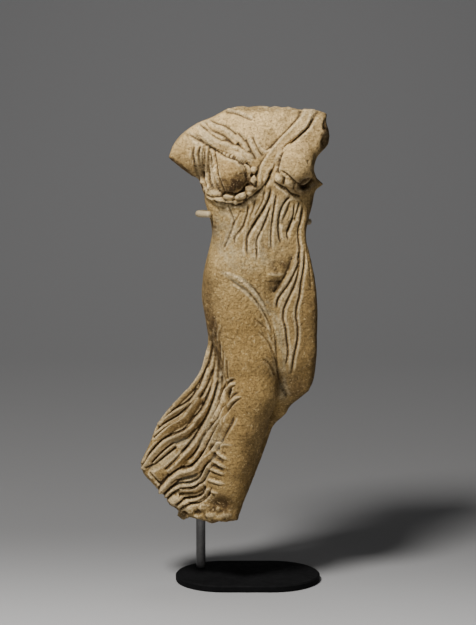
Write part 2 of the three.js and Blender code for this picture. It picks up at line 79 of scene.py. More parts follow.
# The outline on the front view, clockwise from the neck: a smooth curve through each stretch and
# on to the first point of the next.
OUTLINE = {
    "neck": [(-10.5, 196), (-6, 197.4), (2, 198.3), (12, 198), (18, 197.2), (22, 196.3), (28, 196.3)],
    "left shoulder break": [(33.4, 195.1), (32.8, 191.5), (34, 187), (33.6, 182)],
    "left flank": [(31.2, 179.2), (29, 176.6), (27.7, 171), (29.4, 167.7)],
    "left side": [
        (31.6, 165.2), (28.2, 161.8), (26.8, 156), (24.8, 148.6), (24.2, 142.6), (26, 134.6),
        (28.2, 123.6), (29.3, 108), (28.9, 94), (27.4, 83),
    ],
    "left shin": [
        (25.4, 78.4), (22, 75.6), (17.6, 72), (15.6, 68.7), (10.6, 63.9), (7.6, 56), (1.8, 40.3),
        (-2.6, 29.4),
    ],
    "ankle break": [(-5.2, 22.7), (-9, 23.4), (-14, 23), (-18.6, 24.3), (-22, 24.8), (-24.4, 25.6)],
    "hem break": [
        (-27, 24.2), (-30.2, 26.4), (-33.4, 30.4), (-34, 33.2), (-37, 36.2), (-39.4, 38.8), (-41.6, 41.2),
        (-43.9, 44),
    ],
    "trailing edge": [
        (-45, 48.2), (-43.2, 52.2), (-41, 57), (-38.4, 63.6), (-34, 70), (-28.6, 75.8), (-23.6, 81),
        (-19.6, 87.6), (-17, 96.6),
    ],
    "right side": [
        (-16.7, 101.4), (-18.2, 111), (-19.3, 118), (-18.6, 128), (-16.6, 137.4), (-15, 144.6),
        (-15.8, 150.4), (-17.9, 157.6),
    ],
    "under the right arm": [(-18.3, 161), (-21.4, 166.6), (-28, 172)],
    "right shoulder": [(-33.2, 176.4), (-31.6, 181), (-28, 186), (-21, 190.9), (-14, 194)],
}
# How softly the outline and the breaks cut the body.
OUTLINE_SOFT, BREAK_SOFT = 1.6, 0.6

# Round forms of the body: the point (u, v) of the front view and the depth y, the radii and how
# softly each joins the rest.
BALLS = {
    "ribs": ((4.5, 166, 1), (24.5, 14.5, 32), 6),
    "waist": ((4.5, 146, 1), (21.5, 12.8, 27), 6),
    "neck base": ((6, 189, 3), (19, 12, 13), 6),
    "belly": ((6, 134, -3.6), (16, 11.5, 14), 6),
    "low belly": ((11, 129, -8.4), (7, 7.4, 7.6), 2.5),
    "hips": ((4.5, 119, 3), (25.5, 15.5, 24), 7),
    "right breast": ((-6.4, 169.6, -9.6), (8, 9, 9), 1.2),
    "left breast": ((19.6, 173, -9.2), (8.4, 9.4, 8.8), 1.2),
    "right buttock": ((-6, 117, 9), (13, 10.5, 14), 6),
    "left buttock": ((16, 114, 8), (12, 10.5, 14), 6),
}

# Limbs: the depth of the section over its width, how softly the limb joins the rest, and its
# points (u, v, y, radius).
LIMBS = {
    "shoulders": (0.95, 6, [(-20, 182, 3, 10), (4, 185, 4, 13), (27, 186, 3, 11)]),
    "right arm": (1, 4, [(-18, 181, 2, 9.5), (-27, 176.5, 2, 9), (-34, 171, 2, 8)]),
    "right gathers": (1, 1, [
        (-17.2, 160.8, -6.2, 1.6), (-13, 159.6, -9.3, 1.9), (-8, 159.2, -11.2, 2.1),
        (-3, 159.7, -12.3, 2.2), (1, 161.8, -12.8, 2.1), (3, 166, -13.2, 1.9), (2.8, 171, -13, 1.6),
    ]),
    "left gathers": (1, 1, [
        (12.4, 170, -12.2, 1.6), (13.4, 166.8, -12, 1.9), (17.2, 164.6, -11, 2), (21.4, 162.6, -9, 1.9),
        (24.5, 162.6, -7.4, 1.4),
    ]),
    "side flap": (1.2, 2, [(22, 166, 3, 4.2), (32.5, 165, 5, 1.6)]),
    "right thigh": (0.88, 5, [
        (-3, 124, -2.4, 17.2), (-3.4, 110, -5.6, 15.2), (1.2, 92, -9.2, 12.6), (2, 77, -11, 9.8),
    ]),
    "right shank": (1.05, 4, [
        (2, 78, -11, 9.4), (-1.4, 64, -9.2, 9.2), (-5.6, 50, -6.6, 9), (-8, 40, -4.6, 8.6),
        (-10, 28, -2.5, 7.8), (-12, 16, -1, 7.4),
    ]),
    "left thigh": (1, 4, [(14, 128, 2, 14), (17, 108, 0, 12), (18.4, 95, 0, 11), (19.6, 85, 1, 9.6)]),
    "front of the left thigh": (0.5, 4, [
        (17, 128, -7, 11), (18.4, 112, -8, 11.5), (18.4, 96, -8, 11), (18.6, 84, -5, 9),
    ]),
    "cloth over the left hip": (0.6, 4, [
        (20.5, 146, -4, 6), (20.5, 134, -6.5, 8.4), (20, 120, -7.5, 9.4),
    ]),
    "left shank": (1, 4, [
        (19.6, 85, 2, 9), (14.5, 76, 6, 9), (5, 62, 9, 8.6), (-4.6, 46, 9, 8.6), (-11, 28, 7, 8),
        (-13, 16, 6, 7.6),
    ]),
    "cloth between the legs": (1, 3, [
        (-16, 22, 2, 8), (-13, 50, 1, 8), (-7, 66, 0, 8), (2, 80, -1.5, 8), (9, 92, -5, 7.4),
        (9.6, 104, -6, 8.6), (7, 117, -1.5, 10.5),
    ]),
    "trailing cloth": (0.5, 4, [
        (-8, 106, 4, 11), (-12.5, 93, 4, 10.5), (-18, 80, 5, 12), (-23, 68, 6, 16), (-28, 54, 6, 20.5),
        (-28, 44, 5, 20), (-25, 32, 4, 15), (-23, 18, 4, 12),
    ]),
}

# Breaks are nearly flat cuts: a point, the outward normal, how far the cut reaches and how uneven
# it is.
BREAKS = {
    "neck": ((5, 196.4, -4), (0, 0.02, 1), 60, 0.25),
    "right arm": ((-31, 174.6, -3), (-0.6, -0.24, -0.76), 15, 0.3),
    "left shoulder": ((32, 187, -5), (0.94, -0.3, -0.12), 18, 0.5),
    "hem": ((-38, 36.6, 0), (-0.68, -0.1, -0.72), 18, 0.5),
    "ankle": ((-14, 23.8, -4), (0.04, -0.22, -0.97), 40, 0.5),
}

# The rays that find the surface start on a flat core, which each ring crosses from its left end to
# its right end: pairs of points (u, v, y), from the lowest ring to the highest.
CORE = [
    ((-28, 39, 4.5), (-10, 33, 0)), ((-30, 48, 4.5), (-6, 43, -1)), ((-26, 62, 4.5), (-1, 57, -2)),
    ((-17, 74, 4), (7, 71, -1)), ((-11, 85, 2), (15, 85, -1)), ((-8, 108, 1), (17, 108, 0)),
    ((-6, 134, 0), (15, 134, 0)), ((-5, 150, 1), (15, 150, 1)), ((-8, 165, 2), (17, 165, 2)),
    ((-15, 176, 3), (19, 178, 3)), ((-20, 182, 3), (23, 187, 3)),
]

# The rod's line, (x, y, z), from the plate to just under the cradle.
ROD_WAY = [
    (-20.3, 10, 3), (-20.3, 10, 24), (-20.3, 10, 48), (-18, 10.4, 66), (-10.4, 11.4, 92), (-3, 12.6, 116),
    (2.6, 11.6, 139), (4.4, 7.4, 155.4),
]

# The cradle's line round the back of the waist: the angle from the front, and how much further it
# stands off the figure there. It slopes evenly down from CRADLE_HIGH to CRADLE_LOW.
CRADLE_WAY = [
    (-64, 0), (-76, 0.9), (-88, 2.2), (-101, 1.9), (-116, 0.6), (-140, 0), (-165, 0), (170, 0), (145, 0),
    (124, 0), (107, 0),
]
CRADLE_HIGH, CRADLE_LOW = 161.5, 155.8
# The axis of the waist, which the cradle goes round.
WAIST_X, WAIST_Y = 4.5, 1 + FIGURE_Y


def smoothstep(low, high, x):
    t = np.clip((x - low) / (high - low), 0, 1)
    return t * t * (3 - 2 * t)


def soft_min(a, b, soft):
    h = np.maximum(soft - np.abs(a - b), 0) / soft
    return np.minimum(a, b) - h * h * soft / 4


def soft_max(a, b, soft):
    return -soft_min(-a, -b, soft)


def seen(p):
    """The points (u, v) of the front view where the points p are seen."""
    q = p - EYE
    scale = DISTANCE / (q @ FORWARD)
    return VIEW_U + q[..., 0] * scale, VIEW_V + (q @ UPWARD) * scale


def place(points):
    """The points of space that are seen at (u, v) and lie y behind the figure's middle plane."""
    u, v, y = np.moveaxis(np.asarray(points, float)[..., :3], -1, 0)
    ray = DISTANCE * FORWARD + (v - VIEW_V)[..., None] * UPWARD
    ray[..., 0] += u - VIEW_U
    return EYE + ray * ((y + FIGURE_Y - EYE[1]) / ray[..., 1])[..., None]


def smooth_line(way, steps):
    """A smooth curve through the points of way, without loops where they are close together."""
    points = np.asarray(way, float)
    ends = np.vstack([2 * points[0] - points[1], points, 2 * points[-1] - points[-2]])
    t = np.linspace(0, 1, steps, endpoint=False)[:, None]
    spans = []
    for p0, p1, p2, p3 in zip(ends, ends[1:], ends[2:], ends[3:]):
        d0, d1, d2 = (math.sqrt(np.linalg.norm(b - a)) for a, b in ((p0, p1), (p1, p2), (p2, p3)))
        m1 = ((p1 - p0) / d0 - (p2 - p0) / (d0 + d1) + (p2 - p1) / d1) * d1
        m2 = ((p2 - p1) / d1 - (p3 - p1) / (d1 + d2) + (p3 - p2) / d2) * d1
        a, b = 2 * p1 - 2 * p2 + m1 + m2, 3 * p2 - 3 * p1 - 2 * m1 - m2
        spans.append(((a * t + b) * t + m1) * t + p1)
    return np.vstack([*spans, points[-1:]])


def way_passed(points):
    """The length of the line up to each of its points."""
    return np.append(0, np.cumsum(np.linalg.norm(np.diff(points, axis=0), axis=1)))


def rows_at(wanted, known, rows):
    """The rows, known at some places, read off at the wanted ones."""
    return np.stack([np.interp(wanted, known, column) for column in rows.T], axis=1)


def even_line(way, count):
    """A smooth curve through the points of way, as count evenly spaced points."""
    line = smooth_line(way, BAR_PIECES)
    passed = way_passed(line)
    return rows_at(np.linspace(0, passed[-1], count), passed, line)


def near_line(u, v, line):
    """How far each (u, v) is from the line, positive on its right, and the share of it passed."""
    nearest = np.full(u.shape, np.inf)
    signed, passed = np.zeros(u.shape), np.zeros(u.shape)
    for i, ((au, av), (bu, bv)) in enumerate(zip(line, line[1:])):
        du, dv = bu - au, bv - av
        share = np.clip(((u - au) * du + (v - av) * dv) / (du * du + dv * dv), 0, 1)
        eu, ev = u - au - share * du, v - av - share * dv
        d = eu * eu + ev * ev
        closer = d < nearest
        side = np.where(eu * dv - ev * du > 0, 1, -1)
        signed = np.where(closer, side * np.sqrt(d), signed)
        passed = np.where(closer, (i + share) / (len(line) - 1), passed)
        nearest = np.where(closer, d, nearest)
    return signed, passed


class OutlineField:
    """The distance outside the outline, kept on a grid over the front view."""

    STEP = 0.4
    LOW = np.array([-52.0, 14.0])
    COUNTS = 236, 486

    def __init__(self):
        sides = [low + self.STEP * np.arange(count) for low, count in zip(self.LOW, self.COUNTS)]
        u, v = np.meshgrid(*sides, indexing="ij")
        ways = list(OUTLINE.values())
        stretches = [way + following[:1] for way, following in zip(ways, ways[1:] + ways[:1])]
        loop = np.vstack([smooth_line(stretch, OUTLINE_PIECES)[:-1] for stretch in stretches])
        loop = np.vstack([loop, loop[:1]])
        inside = np.zeros(u.shape, bool)
        for (au, av), (bu, bv) in zip(loop, loop[1:]):
            if av != bv:
                inside ^= ((av > v) != (bv > v)) & (u < au + (v - av) * (bu - au) / (bv - av))
        nearest = np.abs(near_line(u, v, loop)[0])
        self.grid = np.where(inside, -nearest, nearest)

    def __call__(self, u, v):
        x, y = (u - self.LOW[0]) / self.STEP, (v - self.LOW[1]) / self.STEP
        cx, cy = np.clip(x, 0, self.COUNTS[0] - 1.001), np.clip(y, 0, self.COUNTS[1] - 1.001)
        i, j = cx.astype(int), cy.astype(int)
        fx, fy = cx - i, cy - j
        low = self.grid[i, j] * (1 - fx) + self.grid[i + 1, j] * fx
        high = self.grid[i, j + 1] * (1 - fx) + self.grid[i + 1, j + 1] * fx
        return low * (1 - fy) + high * fy + self.STEP * np.hypot(x - cx, y - cy)


outline_distance = OutlineField()


def ball_distance(p, centre, radii):
    q = p - centre
    near = np.linalg.norm(q / radii, axis=-1)
    steep = np.linalg.norm(q / radii**2, axis=-1)
    return near * (near - 1) / np.maximum(steep, 1e-6)


def limb_distance(p, joints, radii, flat):
    q = p / (1, flat, 1)
    nearest = np.full(len(p), 1e6)
    for a, b, ra, rb in zip(joints, joints[1:], radii, radii[1:]):
        along = b - a
        share = np.clip((q - a) @ along / (along @ along), 0, 1)
        gap = np.linalg.norm(q - a - share[:, None] * along, axis=-1)
        nearest = soft_min(nearest, gap - (ra + (rb - ra) * share), 2)
    return nearest * min(1, flat)


def bumps(p):
    """A low, bumpy field for the broken faces."""
    x, y, z = np.moveaxis(p, -1, 0)
    coarse = np.sin(0.71 * x + 1.3) * np.sin(0.83 * y + 0.4) + np.sin(0.62 * z + 0.9 * x)
    fine = np.sin(1.7 * x - 1.1 * z) * np.sin(1.9 * y + 1.2 * z + 0.6)
    return 0.4 * coarse + 0.35 * fine


PLACED_BALLS = [(place(at), np.array(radii, float), soft) for at, radii, soft in BALLS.values()]
PLACED_LIMBS = [
    (place(way) / (1, flat, 1), [point[3] for point in way], flat, soft)
    for flat, soft, way in LIMBS.values()
]
PLACED_BREAKS = [
    (place(at), np.array(normal) / np.linalg.norm(normal), reach, rough)
    for at, normal, reach, rough in BREAKS.values()
]


def break_heights(p):
    """How far p is above each break's cut, as one row for each break."""
    rows = []
    for point, normal, reach, rough in PLACED_BREAKS:
        above = (p - point) @ normal + rough * bumps(p)
        rows.append(np.minimum(above, reach - np.linalg.norm(p - point, axis=-1)))
    return np.array(rows)


def figure_distance(p):
    """Nearly the distance from p to the figure before its carving."""
    d = np.full(len(p), 1e6)
    for centre, radii, soft in PLACED_BALLS:
        d = soft_min(d, ball_distance(p, centre, radii), soft)
    for joints, radii, flat, soft in PLACED_LIMBS:
        d = soft_min(d, limb_distance(p, joints, radii, flat), soft)
    d = soft_max(d, outline_distance(*seen(p)), OUTLINE_SOFT)
    for above in break_heights(p):
        d = soft_max(d, above, BREAK_SOFT)
    return d


def surface_along(start, direction, reach=None):
    """How far out each ray meets the figure, found by walking in from reach away."""
    reach = np.full(len(start), START_REACH) if reach is None else reach.copy()
    active = np.arange(len(start))
    for _ in range(RAY_STEPS):
        d = figure_distance(start[active] + direction[active] * reach[active, None])
        reach[active] -= RAY_PACE * d
        active = active[np.abs(d) > RAY_END]
        if not len(active):
            break
    return reach


def ray_direction(angle, lift):
    """The direction of a ray: its angle round from the front and its lift above the level."""
    level = np.cos(lift)
    return np.stack([level * np.sin(angle), -level * np.cos(angle), np.sin(lift) + 0 * angle], axis=-1)


def smoothed(values, passes):
    """Values smoothed along their first axis."""
    for _ in range(passes):
        inner = 0.25 * values[:-2] + 0.5 * values[1:-1] + 0.25 * values[2:]
        values = np.concatenate([values[:1], inner, values[-1:]])
    return values


def core_line():
    """The middle of each ring's core and the way from there to its right end, and the ring's lift."""
    ends = np.array([place(pair) for pair in CORE])
    middle, half = ends.mean(axis=1), (ends[:, 1] - ends[:, 0]) / 2
    passed = way_passed(middle)
    quarter = math.pi / 2
    low = quarter * (np.arange(1, LOW_RINGS + 1) / (LOW_RINGS + 1) - 1)
    top = quarter * np.arange(1, TOP_RINGS + 1) / (TOP_RINGS + 1)
    lifts = np.concatenate([low, np.zeros(BODY_RINGS), top])
    body = np.linspace(0, passed[-1], BODY_RINGS)
    rings = np.concatenate([np.zeros(LOW_RINGS), body, np.full(TOP_RINGS, passed[-1])])
    return rows_at(rings, passed, middle), rows_at(rings, passed, half) * np.cos(lifts)[:, None], lifts


def angle_at(spot):
    """The angle of a spot in a ring, counted in tries."""
    return ((spot + 0.5) / TRIES) * 2 * math.pi - math.pi


def ring_points(middle, half, lifts, angles, reach=None):
    """The surface's points at these angles of the rings, and how far from the core they are."""
    directions = ray_direction(angles, lifts[:, None])
    origins = middle[:, None] + half[:, None] * np.sin(angles)[..., None]
    reach = surface_along(origins.reshape(-1, 3), directions.reshape(-1, 3), reach)
    reach = reach.reshape(directions.shape[:2])
    return origins + directions * reach[..., None], reach


def figure_grid():
    """The surface as a grid of points, one row for each ring, and its two poles."""
    middle, half, lifts = core_line()
    angles = angle_at(np.arange(TRIES))
    rows = np.arange(len(lifts))
    every = np.unique(np.append(rows[::3], rows[-1]))
    coarse, reach = ring_points(middle[every], half[every], lifts[every], angles[None])

    steps = np.linalg.norm(np.roll(coarse, -1, axis=1) - coarse, axis=-1)
    weights = BACK_SHARE + (1 - BACK_SHARE) * smoothstep(-0.5, 0.2, np.cos(angles + math.pi / TRIES))
    lengths = np.concatenate([np.zeros((len(every), 1)), np.cumsum(steps * weights, axis=1)], axis=1)
    column_angles, column_reach = [], []
    for length, out in zip(lengths, reach):
        wanted = length[-1] * (np.arange(COLUMNS) + 0.5) / COLUMNS
        spots = np.interp(wanted, length, np.arange(TRIES + 1))
        column_angles.append(angle_at(spots))
        column_reach.append(np.interp(spots, np.arange(TRIES + 1), np.append(out, out[0])))
    all_angles = rows_at(rows, every, smoothed(np.array(column_angles), 4))
    all_reach = rows_at(rows, every, np.array(column_reach))

    grid, _ = ring_points(middle, half, lifts, all_angles, all_reach.reshape(-1) + STAND_OFF)
    ends = middle[[0, -1]]
    ways = np.array([[0, 0, -1.0], [0, 0, 1.0]])
    return grid, ends + ways * surface_along(ends, ways)[:, None]


def grid_normals(grid, poles):
    """Normals of the grid's points, from their neighbours."""
    low, high = (np.repeat(pole[None, None], COLUMNS, axis=1) for pole in poles)
    padded = np.concatenate([low, grid, high])
    around = np.roll(grid, -1, axis=1) - np.roll(grid, 1, axis=1)
    normals = np.cross(around, padded[2:] - padded[:-2])
    return normals / np.linalg.norm(normals, axis=-1, keepdims=True)


def tube_faces(rows, columns):
    """Faces of a closed tube: its points row by row, then the pole below them and the one above."""
    index = np.arange(rows * columns).reshape(rows, columns)
    nxt = np.roll(index, -1, axis=1)
    faces = np.stack([index[:-1], nxt[:-1], nxt[1:], index[1:]], axis=-1).reshape(-1, 4).tolist()
    faces += [(rows * columns, b, a) for a, b in zip(index[0].tolist(), nxt[0].tolist())]
    faces += [(rows * columns + 1, a, b) for a, b in zip(index[-1].tolist(), nxt[-1].tolist())]
    return faces


class Relief:
    """Height added to the surface at the points (u, v), from carved strokes."""

    # The shares of a stroke's way over which it fades in and out.
    FADE = (0.12, 0.12)
    GUIDE_POINTS = 24

    def __init__(self, u, v, weight):
        self.u, self.v, self.weight = u, v, weight
        self.height = np.zeros(u.shape)

    def near(self, line, margin):
        low, high = line.min(axis=0) - margin, line.max(axis=0) + margin
        inside = (self.u > low[0]) & (self.u < high[0]) & (self.v > low[1]) & (self.v < high[1])
        return np.nonzero(inside & (self.weight > 0))[0]

    @staticmethod
    def ends(passed, fade):
        """How much of a stroke is there, where it fades in and out over these shares of its way."""
        start, end = fade
        here = smoothstep(0, start, passed) if start else 1
        return here * (smoothstep(0, end, 1 - passed) if end else 1)

    def stroke(self, line, profile, margin, fade=FADE):
        spots = self.near(line, margin)
        signed, passed = near_line(self.u[spots], self.v[spots], line)
        self.height[spots] += profile(signed) * self.ends(passed, fade) * self.weight[spots]

    def groove(self, depth, width, line, fade=FADE):
        """A crisp groove between swollen edges."""
        def profile(s):
            across = np.abs(s) / width
            return depth * (0.4 * np.exp(-((across / 2.6) ** 2)) - 1.2 * np.exp(-(across**1.25)))
        self.stroke(line, profile, 5 * width, fade)

    def cut(self, depth, width, way, fade=FADE):
        self.groove(depth, width, smooth_line(way, STROKE_PIECES), fade)

    def cuts_between(self, count, depth, width, first, last):
        """Grooves spread evenly from one guide to another."""
        a, b = even_line(first, self.GUIDE_POINTS), even_line(last, self.GUIDE_POINTS)
        for share in np.linspace(0, 1, count):
            self.groove(depth, width, a + (b - a) * share)

    def lip(self, height, reach, depth, width, way):
        """The edge of a layer of cloth: it is raised on the left of its way and undercut on the right."""
        def profile(s):
            raised = height * np.exp(np.minimum(s, 0) / reach)
            under = -depth * np.exp(-(np.maximum(s, 0) / width) ** 1.25)
            return raised + (under - raised) * smoothstep(-0.3, 0.3, s)
        self.stroke(smooth_line(way, STROKE_PIECES), profile, 3 * max(reach, width))

    def ridge(self, height, width, way):
        line = smooth_line(way, STROKE_PIECES)
        self.stroke(line, lambda s: height * np.exp(-((s / width) ** 2)), 3 * width)

    def band(self, height, half_width, edge, way):
        """A flat raised band with crisp edges, which runs out at its end."""
        def profile(s):
            return height * (1 - smoothstep(half_width - edge, half_width + edge, np.abs(s)))
        self.stroke(smooth_line(way, STROKE_PIECES), profile, half_width + 2 * edge, (0, 0.08))

    def crests(self, crests, floor, sharp, slit, fade):
        """Folds of cloth over valleys that are floor deep, each with a slit along its right foot."""
        top, cover, slits = np.zeros((3, *self.u.shape))
        for height, left, right, way in crests:
            line = smooth_line(way, STROKE_PIECES)
            spots = self.near(line, 2 * max(left, right))
            signed, passed = near_line(self.u[spots], self.v[spots], line)
            across = np.abs(signed) / np.where(signed > 0, right, left)
            ends = self.ends(passed, fade)
            rise = ends * (height + floor) * np.maximum(1 - across, 0) ** sharp
            top[spots] = np.maximum(top[spots], rise)
            cover[spots] = np.maximum(cover[spots], ends * (1 - smoothstep(1, 1.8, across)))
            slits[spots] = np.maximum(slits[spots], ends * slit * np.exp(-(((signed - right) / 0.45) ** 2)))
        self.height += (top - floor * cover - slits) * self.weight

    def bead(self, height, length, width, u, v, turn):
        """An oval lump, or a pit where the height is negative, turned by some degrees."""
        spots = self.near(np.array([(u, v)]), 1.6 * max(length, width))
        c, s = math.cos(math.radians(turn)), math.sin(math.radians(turn))
        du, dv = self.u[spots] - u, self.v[spots] - v
        far = np.hypot((du * c + dv * s) / length, (dv * c - du * s) / width)
        self.height[spots] += height * np.exp(-far**3.5) * self.weight[spots]


# Strokes on the front. The band of the strap and its outer edge:
STRAP = [
    (26, 196.5), (22.9, 190.8), (19.2, 187), (15.6, 183.4), (12.4, 179.6), (9.2, 175), (6.8, 170.6),
    (5.2, 166.4), (3.6, 161.8),
]
STRAP_EDGE = [
    (28.6, 196), (26.6, 191.4), (25.2, 189), (22.6, 186.6), (19, 183.6), (15.6, 180.8), (14, 178),
    (13.2, 175), (12.5, 172.4), (11.8, 169.6),
]

# Grooves: depth, width and way. On the chest they are the strap's lower left edge and a seam along
# the strap, two lines between the lobes of the neckline and the edge of the arm's stump.
CHEST_CUTS = [
    (1.3, 0.65, [
        (10.2, 171.6), (9.3, 170), (8.7, 167.8), (6.6, 164.6), (4.4, 162.2), (2.6, 160.2), (0.2, 158.6),
    ]),
    (0.3, 0.5, [(22, 194.4), (17.6, 188.8), (13, 184.2), (10, 180.6), (8.4, 177.6)]),
    (0.4, 0.45, [(-0.8, 185.4), (-0.1, 182.3), (1.4, 178.4), (3.4, 175.8)]),
    (0.6, 0.5, [(4.1, 183.6), (5.2, 181.1), (6.2, 178.6), (6.7, 176.9)]),
    (0.4, 0.8, [(-26.6, 187.2), (-24.2, 183), (-23.4, 179), (-23.6, 174.6)]),
]
RIGHT_BREAST_CUTS = [
    (0.7, 0.55, [(-4.4, 175), (-2.8, 173.6), (-1.6, 171.8), (-0.9, 169.6), (-0.5, 167)]),
    (0.45, 0.5, [(-2.6, 175), (-1, 173.6), (0, 171.6)]),
    (0.8, 0.6, [(-13.7, 170.6), (-13.2, 168), (-12.2, 165.4), (-11, 163.2)]),
    (0.6, 0.5, [(-14.8, 170), (-14.2, 167), (-13, 164.4), (-12.2, 162.6)]),
    (1.3, 0.65, [(-18.2, 161.2), (-16, 160), (-14, 159.9), (-12, 160.1), (-10.4, 161), (-9.4, 162.4)]),
    (1.5, 0.6, [
        (-9.6, 162), (-8, 161.3), (-6.4, 161.4), (-5, 160.9), (-3.4, 161.5), (-1.8, 162.8), (-1, 164.6),
    ]),
    (1.3, 0.6, [(-1, 164.8), (0.4, 165), (1.8, 164.9), (3, 164)]),
    (1.2, 0.55, [(3.8, 171), (3.7, 169), (3.4, 166.6), (3.2, 163.6)]),
    (1.4, 0.6, [
        (-15.4, 159.4), (-13.4, 158), (-11, 157.4), (-9, 156.6), (-6.6, 156.7), (-3.6, 156.6),
        (-1.6, 157.2), (0.4, 158.9), (2.2, 160.2), (3.6, 161.6),
    ]),
    (1, 0.45, [(-5.7, 161.2), (-5.4, 159.8), (-5.6, 158.6)]),
    (0.8, 0.45, [(-10.8, 160.4), (-10.2, 159), (-9, 158)]),
    (0.9, 0.5, [(-0.9, 162), (-0.4, 160.4), (-1, 158.8), (-2.4, 158)]),
]
LEFT_BREAST_CUTS = [
    (1.4, 0.7, [
        (10.6, 167), (12, 165.2), (13.6, 164.2), (15.6, 163.2), (17.6, 161.4), (20, 160.4), (23, 159.6),
    ]),
    (1, 0.4, [(19.6, 165.6), (19.2, 164.2), (19, 162.8)]),
    (0.9, 0.45, [(15.2, 168.4), (15.2, 166.6), (14.8, 164.8)]),
    (0.7, 0.5, [(12, 171.4), (13.6, 169.2), (15, 167.8)]),
    (1, 0.6, [(13.4, 171.2), (16, 169.4), (18.4, 167.4), (20.4, 165.6), (22.6, 164.2)]),
    (0.5, 0.4, [(25.6, 175.8), (25.2, 174.6), (25.6, 173)]),
]
TORSO_CUTS = [
    (0.9, 0.6, [(-8.8, 157), (-7, 152.7), (-6, 149.3), (-7, 146), (-8.7, 141.7), (-11, 137.3)]),
    (0.6, 0.5, [(-2.8, 154.8), (-4, 152), (-5.2, 150), (-6.6, 147.6)]),
    (0.9, 0.55, [
        (0.2, 157.8), (-0.3, 153), (-1.3, 149.7), (-2.2, 147.3), (-4.3, 144.7), (-5.6, 142.7),
        (-5.7, 138.6),
    ]),
    (0.6, 0.45, [(3, 159.4), (2.3, 155.3), (0.6, 151)]),
    (0.7, 0.5, [(7, 163), (6.2, 158.4), (4.6, 155), (2.8, 151.6)]),
    (1.5, 0.75, [
        (10, 165), (9, 159.7), (6.7, 155), (4, 150.7), (1.3, 146.3), (-0.3, 143.3), (-0.7, 139.3),
        (-0.2, 133.6),
    ]),
    (0.7, 1.3, [(7.4, 156.4), (5.8, 152.8), (3.6, 149.6), (1.4, 146.4)]),
    (0.4, 0.5, [(-2.6, 140.6), (-2.8, 132.3), (-1.8, 126.4)]),
    (1.1, 0.55, [(10, 157.4), (7.7, 150.7), (5.7, 146), (3.8, 142.3), (3.6, 138), (3.8, 132)]),
    (1, 0.5, [(12.2, 162), (11, 155.3), (10.2, 149.3), (9.7, 144), (9.8, 136.4)]),
    (1.5, 0.7, [(18.2, 160.2), (16, 158.3), (14, 154.7), (13, 150), (13, 144.7), (14.2, 139.4)]),
    (1, 1.3, [(18, 158.8), (16.8, 154.6), (15.2, 151), (14, 147.6)]),
    (1.1, 0.6, [(19.8, 158.6), (19, 151.3), (17.7, 147.7), (16.5, 144.7), (17, 141.4)]),
    (0.7, 1.1, [(19.2, 151.6), (17.8, 148), (16.6, 144.6)]),
    (0.9, 0.5, [(21.8, 158), (20.4, 153), (19.5, 149.4)]),
    (1, 0.6, [(23.4, 157.4), (22.3, 150), (21.3, 146.7), (21.2, 142.7), (21.7, 137.3), (20.4, 132)]),
    (0.4, 0.6, [(-12.8, 156), (-11, 150), (-11.6, 144)]),
    (0.4, 0.6, [(6.6, 147), (6.4, 141), (7, 135)]),
    (0.5, 1.2, [(8.6, 124.8), (11.4, 123.4), (14, 124.8)]),
]
HIP_CUTS = [
    (1, 1.1, [
        (19.6, 136.4), (18, 133.2), (17.3, 130.3), (15.8, 127), (13.9, 124), (11.9, 121), (10.2, 118.8),
    ]),
    (1.2, 0.65, [
        (21.8, 137.6), (21.3, 132.3), (19.3, 127.3), (16.7, 122.7), (13.6, 118.6), (12.3, 116), (12, 112),
    ]),
    (1.2, 0.65, [
        (22.4, 137.4), (21.4, 129.6), (19.7, 123), (17.7, 118.7), (15.9, 114.8), (14.9, 111.6),
        (14.8, 108.4), (15.8, 104.6), (16.3, 100), (16.8, 95), (16.4, 91), (15.4, 88),
    ]),
    (1.2, 0.6, [
        (23.7, 143.4), (23.8, 134), (23.3, 129), (22.3, 123.6), (21.8, 118.5), (20.6, 114), (20.2, 109.6),
        (21, 104), (20.8, 99.6), (19.6, 94), (18.7, 89), (17.8, 82.6),
    ]),
    (0.5, 0.6, [(24.6, 141), (25.4, 133), (26.2, 126.6), (26.4, 119)]),
]
THIGH_CUTS = [
    (0.7, 0.8, [
        (0, 124), (3.4, 120.4), (6.4, 115.6), (8.8, 110.4), (10.8, 104), (12, 97), (12.4, 90), (13, 84),
    ]),
    (0.8, 1.1, [(12.6, 88), (13.4, 83), (14.6, 79), (16.4, 75)]),
    (0.8, 0.6, [
        (-9.4, 126.4), (-3.3, 122.3), (0, 119.8), (4, 115.6), (7, 111), (9.4, 105.6), (10.6, 99),
    ]),
    (0.4, 0.5, [(-3, 126.4), (1.6, 122), (5, 117.8), (8, 113)]),
    (0.5, 0.5, [(2.6, 109), (5.6, 106.6), (8.5, 103.6), (10.6, 98.6)]),
    (0.5, 0.5, [(3.4, 103.6), (6.4, 101.6), (8.8, 98.6), (10.8, 94), (12, 90)]),
    (0.5, 0.6, [(6, 92), (8.4, 90.4), (10.2, 87.6), (11.6, 84)]),
    (0.5, 0.6, [(-14, 110.4), (-14.8, 106), (-15.8, 102)]),
    (0.4, 0.5, [(-12, 108), (-13.4, 104), (-14.2, 100)]),
    (0.4, 0.5, [(-10.6, 106), (-12, 102), (-13, 97)]),
    (0.5, 1, [(-12.4, 98), (-12.2, 94), (-11.4, 90)]),
]
